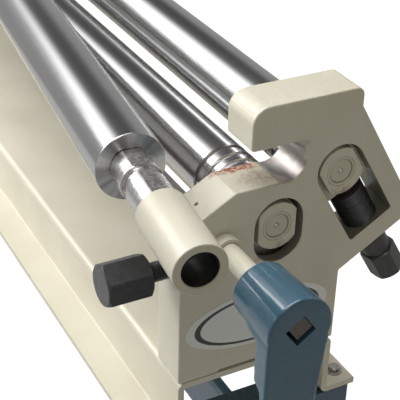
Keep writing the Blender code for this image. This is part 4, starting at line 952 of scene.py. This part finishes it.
def build_drive():
    """Shaft, its bushes, and the crank."""
    centre = place(0, DRIVE_Y, DRIVE_Z)
    look = plain("shaft_steel", (0.30, 0.28, 0.26), 1.0, 0.38, 240, 0.1)
    square_look = plain("square_steel", (0.155, 0.13, 0.118), 0.55, 0.5, 420, 0.25)
    bare = [(LEFT - 39.5, SHAFT_R), (13, SHAFT_R)]
    turned("shaft_round", bare, centre, look, "drive", "drive_shaft", 0.6, 64)
    painted = [(12.6, SHAFT_R), (76.7, SHAFT_R)]
    turned("shaft_painted", painted, centre, cream("cream_shaft", 0.05), "drive", None, 0.4, 64)
    piece = plate("shaft_square", [turned_square(SQUARE_HALF)], 71, 152, 0.7, centre, square_look)
    finish_piece(piece, "drive")
    for side in ("right", "left"):
        out = 14 if side == "right" else 4
        profile = [(-CAST_THICK, DRIVE_BUSH_R), (0.3, DRIVE_BUSH_R), (0.3, DRIVE_FLANGE_R)]
        profile += [(out, DRIVE_FLANGE_R), (out, SHAFT_R + 0.3), (-CAST_THICK, SHAFT_R + 0.3)]
        bush_place = place(at(side, 0), DRIVE_Y, DRIVE_Z, facing(side))
        name = "drive_bush_turned_" + side
        look_bush = cream("cream_drive_bush_" + side)
        turned(name, profile, bush_place, look_bush, "frame", "drive_bush_" + side, 0.9, 64, True)
    build_crank()


def turned_square(half, turn=math.radians(SQUARE_TURN)):
    """Square with soft corners, turned as the shaft's end stands."""
    reach = half * math.sqrt(2)
    base = turn + math.pi / 4
    corners = [base + quarter * math.pi / 2 for quarter in range(4)]
    return rounded([(reach * math.cos(a), reach * math.sin(a), 0.8) for a in corners], 4)


def build_crank():
    """Cast arm: hub and bar joined, then softened as a casting."""
    drop = math.radians(SQUARE_TURN + 225)
    hub_y = HUB_DROP * math.sqrt(2) * math.cos(drop)
    hub_z = HUB_DROP * math.sqrt(2) * math.sin(drop)
    matrix = place(0, DRIVE_Y + hub_y, DRIVE_Z + hub_z, Matrix.Rotation(-LEAN, 4, "X"))
    outline = [(-31, 0), (31, 0), (34.2, -14)] + arc(0, -CRANK_REACH, 21, 0, -math.pi, 32) + [(-34.2, -14)]
    arm = raw(prism_mesh(outline, HUB_BACK, HUB_FACE), matrix, "crank_cast")
    back = [
        (70, 0), (HUB_BACK, 0), (131.2, -19), (131.2, -64), (143.2, -72), (143.2, -300), (70, -300),
    ]
    carve(arm, [raw(extruded([(x, -80, z) for x, z in back], (0, 160, 0)), matrix)])
    hub = turned_mesh([(HUB_BACK + 0.2, 31), (HUB_FACE, 35.5)], 128)
    carve(arm, [raw(hub, matrix)], "UNION")
    step = arm.modifiers.new("voxel", "REMESH")
    step.mode = "VOXEL"
    step.voxel_size = 0.0014
    step = arm.modifiers.new("soften", "SMOOTH")
    step.iterations = 6
    step.factor = 0.5
    bpy.context.view_layer.update()
    apply_all(arm)
    hole = prism_mesh(turned_square(SQUARE_HOLE_HALF, math.radians(SQUARE_TURN) + LEAN), 60, 170)
    bolt = turned_mesh([(120, 6.3), (170, 6.3)], 32)
    bmesh.ops.translate(bolt, vec=(0, 0, -CRANK_REACH), verts=bolt.verts)
    carve(arm, [raw(hole, matrix), raw(bolt, matrix)])
    arm.data.materials.clear()
    arm.data.materials.append(blue("blue_crank", 0.3))
    arm.data.shade_smooth()
    arm.data.set_sharp_from_angle(angle=math.radians(50))
    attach(arm, "drive")
    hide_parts("crank_hub", "crank_arm")
    tip_y = DRIVE_Y + hub_y - CRANK_REACH * math.sin(LEAN)
    tip_z = DRIVE_Z + hub_z - CRANK_REACH * math.cos(LEAN)
    grip_place = place(0, tip_y, tip_z)
    grip = [(154.3, 6.3), (154.3, 15), (210, 16.8), (262, 15), (266.3, 11), (266.3, 6.3)]
    grip_look = plain("grip_rubber", (0.02, 0.02, 0.02), 0.0, 0.6, 120, 0.2)
    turned("grip_turned", grip, grip_place, grip_look, "grip", "crank_grip", 3, 64, True)
    bolt = [
        (136.7, 0), (136.7, 10), (142.7, 10), (142.7, 6), (266.6, 6), (266.6, 10), (272.3, 10), (272.3, 0),
    ]
    bolt_look = plain("bolt_steel", (0.42, 0.42, 0.43), 1.0, 0.35)
    turned("grip_bolt_turned", bolt, grip_place, bolt_look, "drive", "grip_bolt", 0.8, 48)


def build_bolt(name, x, y, z, turn, material, flats, head):
    """Hexagon bolt head on its washer."""
    matrix = place(x, y, z, turn)
    thick, rim = 1.8, flats * 0.78
    washer = [(0, 0), (0, rim), (thick, rim), (thick, 0)]
    turned(name + "_washer", washer, matrix, material, "frame", None, 0.3, 48)
    top = raw(prism_mesh(six_sided(flats, 0.2), thick, thick + head), matrix, name + "_head", material)
    corner = flats / math.sqrt(3)
    barrel = [(thick, corner + 1), (head, corner + 0.2), (thick + head, flats * 0.47)]
    carve(top, [raw(turned_mesh(barrel, 48), matrix)], "INTERSECT")
    finish_piece(top, "frame", weighted=False)


def build_fasteners():
    """Bolts through the bed's flanges and the gear cover."""
    zinc = plain("bolt_zinc", (0.45, 0.44, 0.40), 1.0, 0.38)
    up = Matrix.Rotation(-math.pi / 2, 4, "Y")
    for side in ("right", "left"):
        for y, word in ((-24, "front"), (225, "rear")):
            build_bolt("bed_bolt_" + word + "_" + side, at(side, 22), y, -76.6, up, zinc, 13, 5)
    out = Matrix.Rotation(math.pi, 4, "Z")
    for index, (y, z) in enumerate(((20, 130), (158, 130), (158, 292), (95, 290), (20, 220))):
        build_bolt("cover_screw_%d" % index, LEFT - 44.9, y, z, out, zinc, 10, 4)


def build_label():
    """Blank oval plate on the crank-side casting."""
    matrix = place(0, 97.2, 63.7)
    angles = [2 * math.pi * step / 96 for step in range(96)]
    outline = [(LABEL_Y * math.cos(angle), LABEL_Z * math.sin(angle)) for angle in angles]
    make("end_plate", prism_mesh(outline, 0.05, 0.45), matrix, label("plate_enamel"), "frame")


def dress_cad():
    """Materials of the CAD nodes that stay."""
    looks = {
        "gear_cover": cream("cream_cover", 0.05),
        "stand_end_right": blue("blue_stand_right", 0.0, 0.75),
        "stand_end_left": blue("blue_stand_left", 0.0, 0.75),
        "stretcher": blue("blue_stretcher", 0.0, 0.75),
        "trunnion_block": plain("trunnion_steel", (0.40, 0.39, 0.38), 1.0, 0.4),
        "idler_stud": plain("stud_steel", (0.40, 0.39, 0.38), 1.0, 0.35),
        "wedge_right": plain("wedge_steel_right", (0.36, 0.35, 0.34), 1.0, 0.4),
        "wedge_left": plain("wedge_steel_left", (0.36, 0.35, 0.34), 1.0, 0.4),
    }
    for name in ("drive_pinion", "idler_gear", "lower_gear", "top_gear"):
        looks[name] = plain("gear_" + name, (0.33, 0.32, 0.30), 1.0, 0.42, 200, 0.1)
    for name in ("front_right", "front_left", "rear_right", "rear_left"):
        looks["foot_pad_" + name] = plain("pad_" + name, (0.02, 0.02, 0.02), 0.0, 0.7, 150, 0.2)
    for name, look in looks.items():
        node = bpy.data.objects[name]
        node.data.materials.clear()
        node.data.materials.append(look)


def build_stage():
    """Floor, white surround, soft lamps and the camera."""
    mesh = bpy.data.meshes.new("floor")
    size = 2.6
    corners = [(-size, -size, 0), (size, -size, 0), (size, size, 0), (-size, size, 0)]
    mesh.from_pydata(corners, [], [(0, 1, 2, 3)])
    floor = add("floor", mesh)
    floor.location.z = -0.0004
    mesh.materials.append(floor_material())
    studio_world()
    lamps = (
        ("key", (-1.8, -2.3, 2.9), (2.6, 1.8), 108),
        ("top", (-0.4, -0.3, 3.8), (3.0, 1.4), 80),
    )
    for name, spot, size, power in lamps:
        data = bpy.data.lights.new(name, "AREA")
        data.shape = "RECTANGLE"
        data.size, data.size_y = size
        data.energy = power
        lamp = add(name, data)
        lamp.location = spot
        aim = Vector((0.3, 0, 0.9)) - Vector(spot)
        lamp.rotation_mode = "QUATERNION"
        lamp.rotation_quaternion = aim.to_track_quat("-Z", "Y")
    camera_data = bpy.data.cameras.new("camera")
    camera_data.sensor_width = 36
    camera_data.lens = 100.04
    camera = add("camera", camera_data)
    right = Vector((0.46145974, 0.88685144, 0.02344002))
    down = Vector((0.4673836, -0.22056883, -0.85609694))
    ahead = Vector((-0.75406066, 0.40600975, -0.51628345))
    turn = Matrix((right, -down, -ahead)).transposed().to_4x4()
    camera.matrix_world = Matrix.Translation(point(834.117, -428.444, 803.121)) @ turn
    bpy.context.scene.camera = camera
    bpy.context.scene.view_settings.view_transform = "Standard"


build_stage()
for word in ("right", "left"):
    build_casting(word)
    build_block("lower", word)
    build_block("rear", word)
    build_screws(word)
build_bed()
build_rolls()
build_top_roll()
build_release()
build_drive()
build_fasteners()
build_label()
dress_cad()
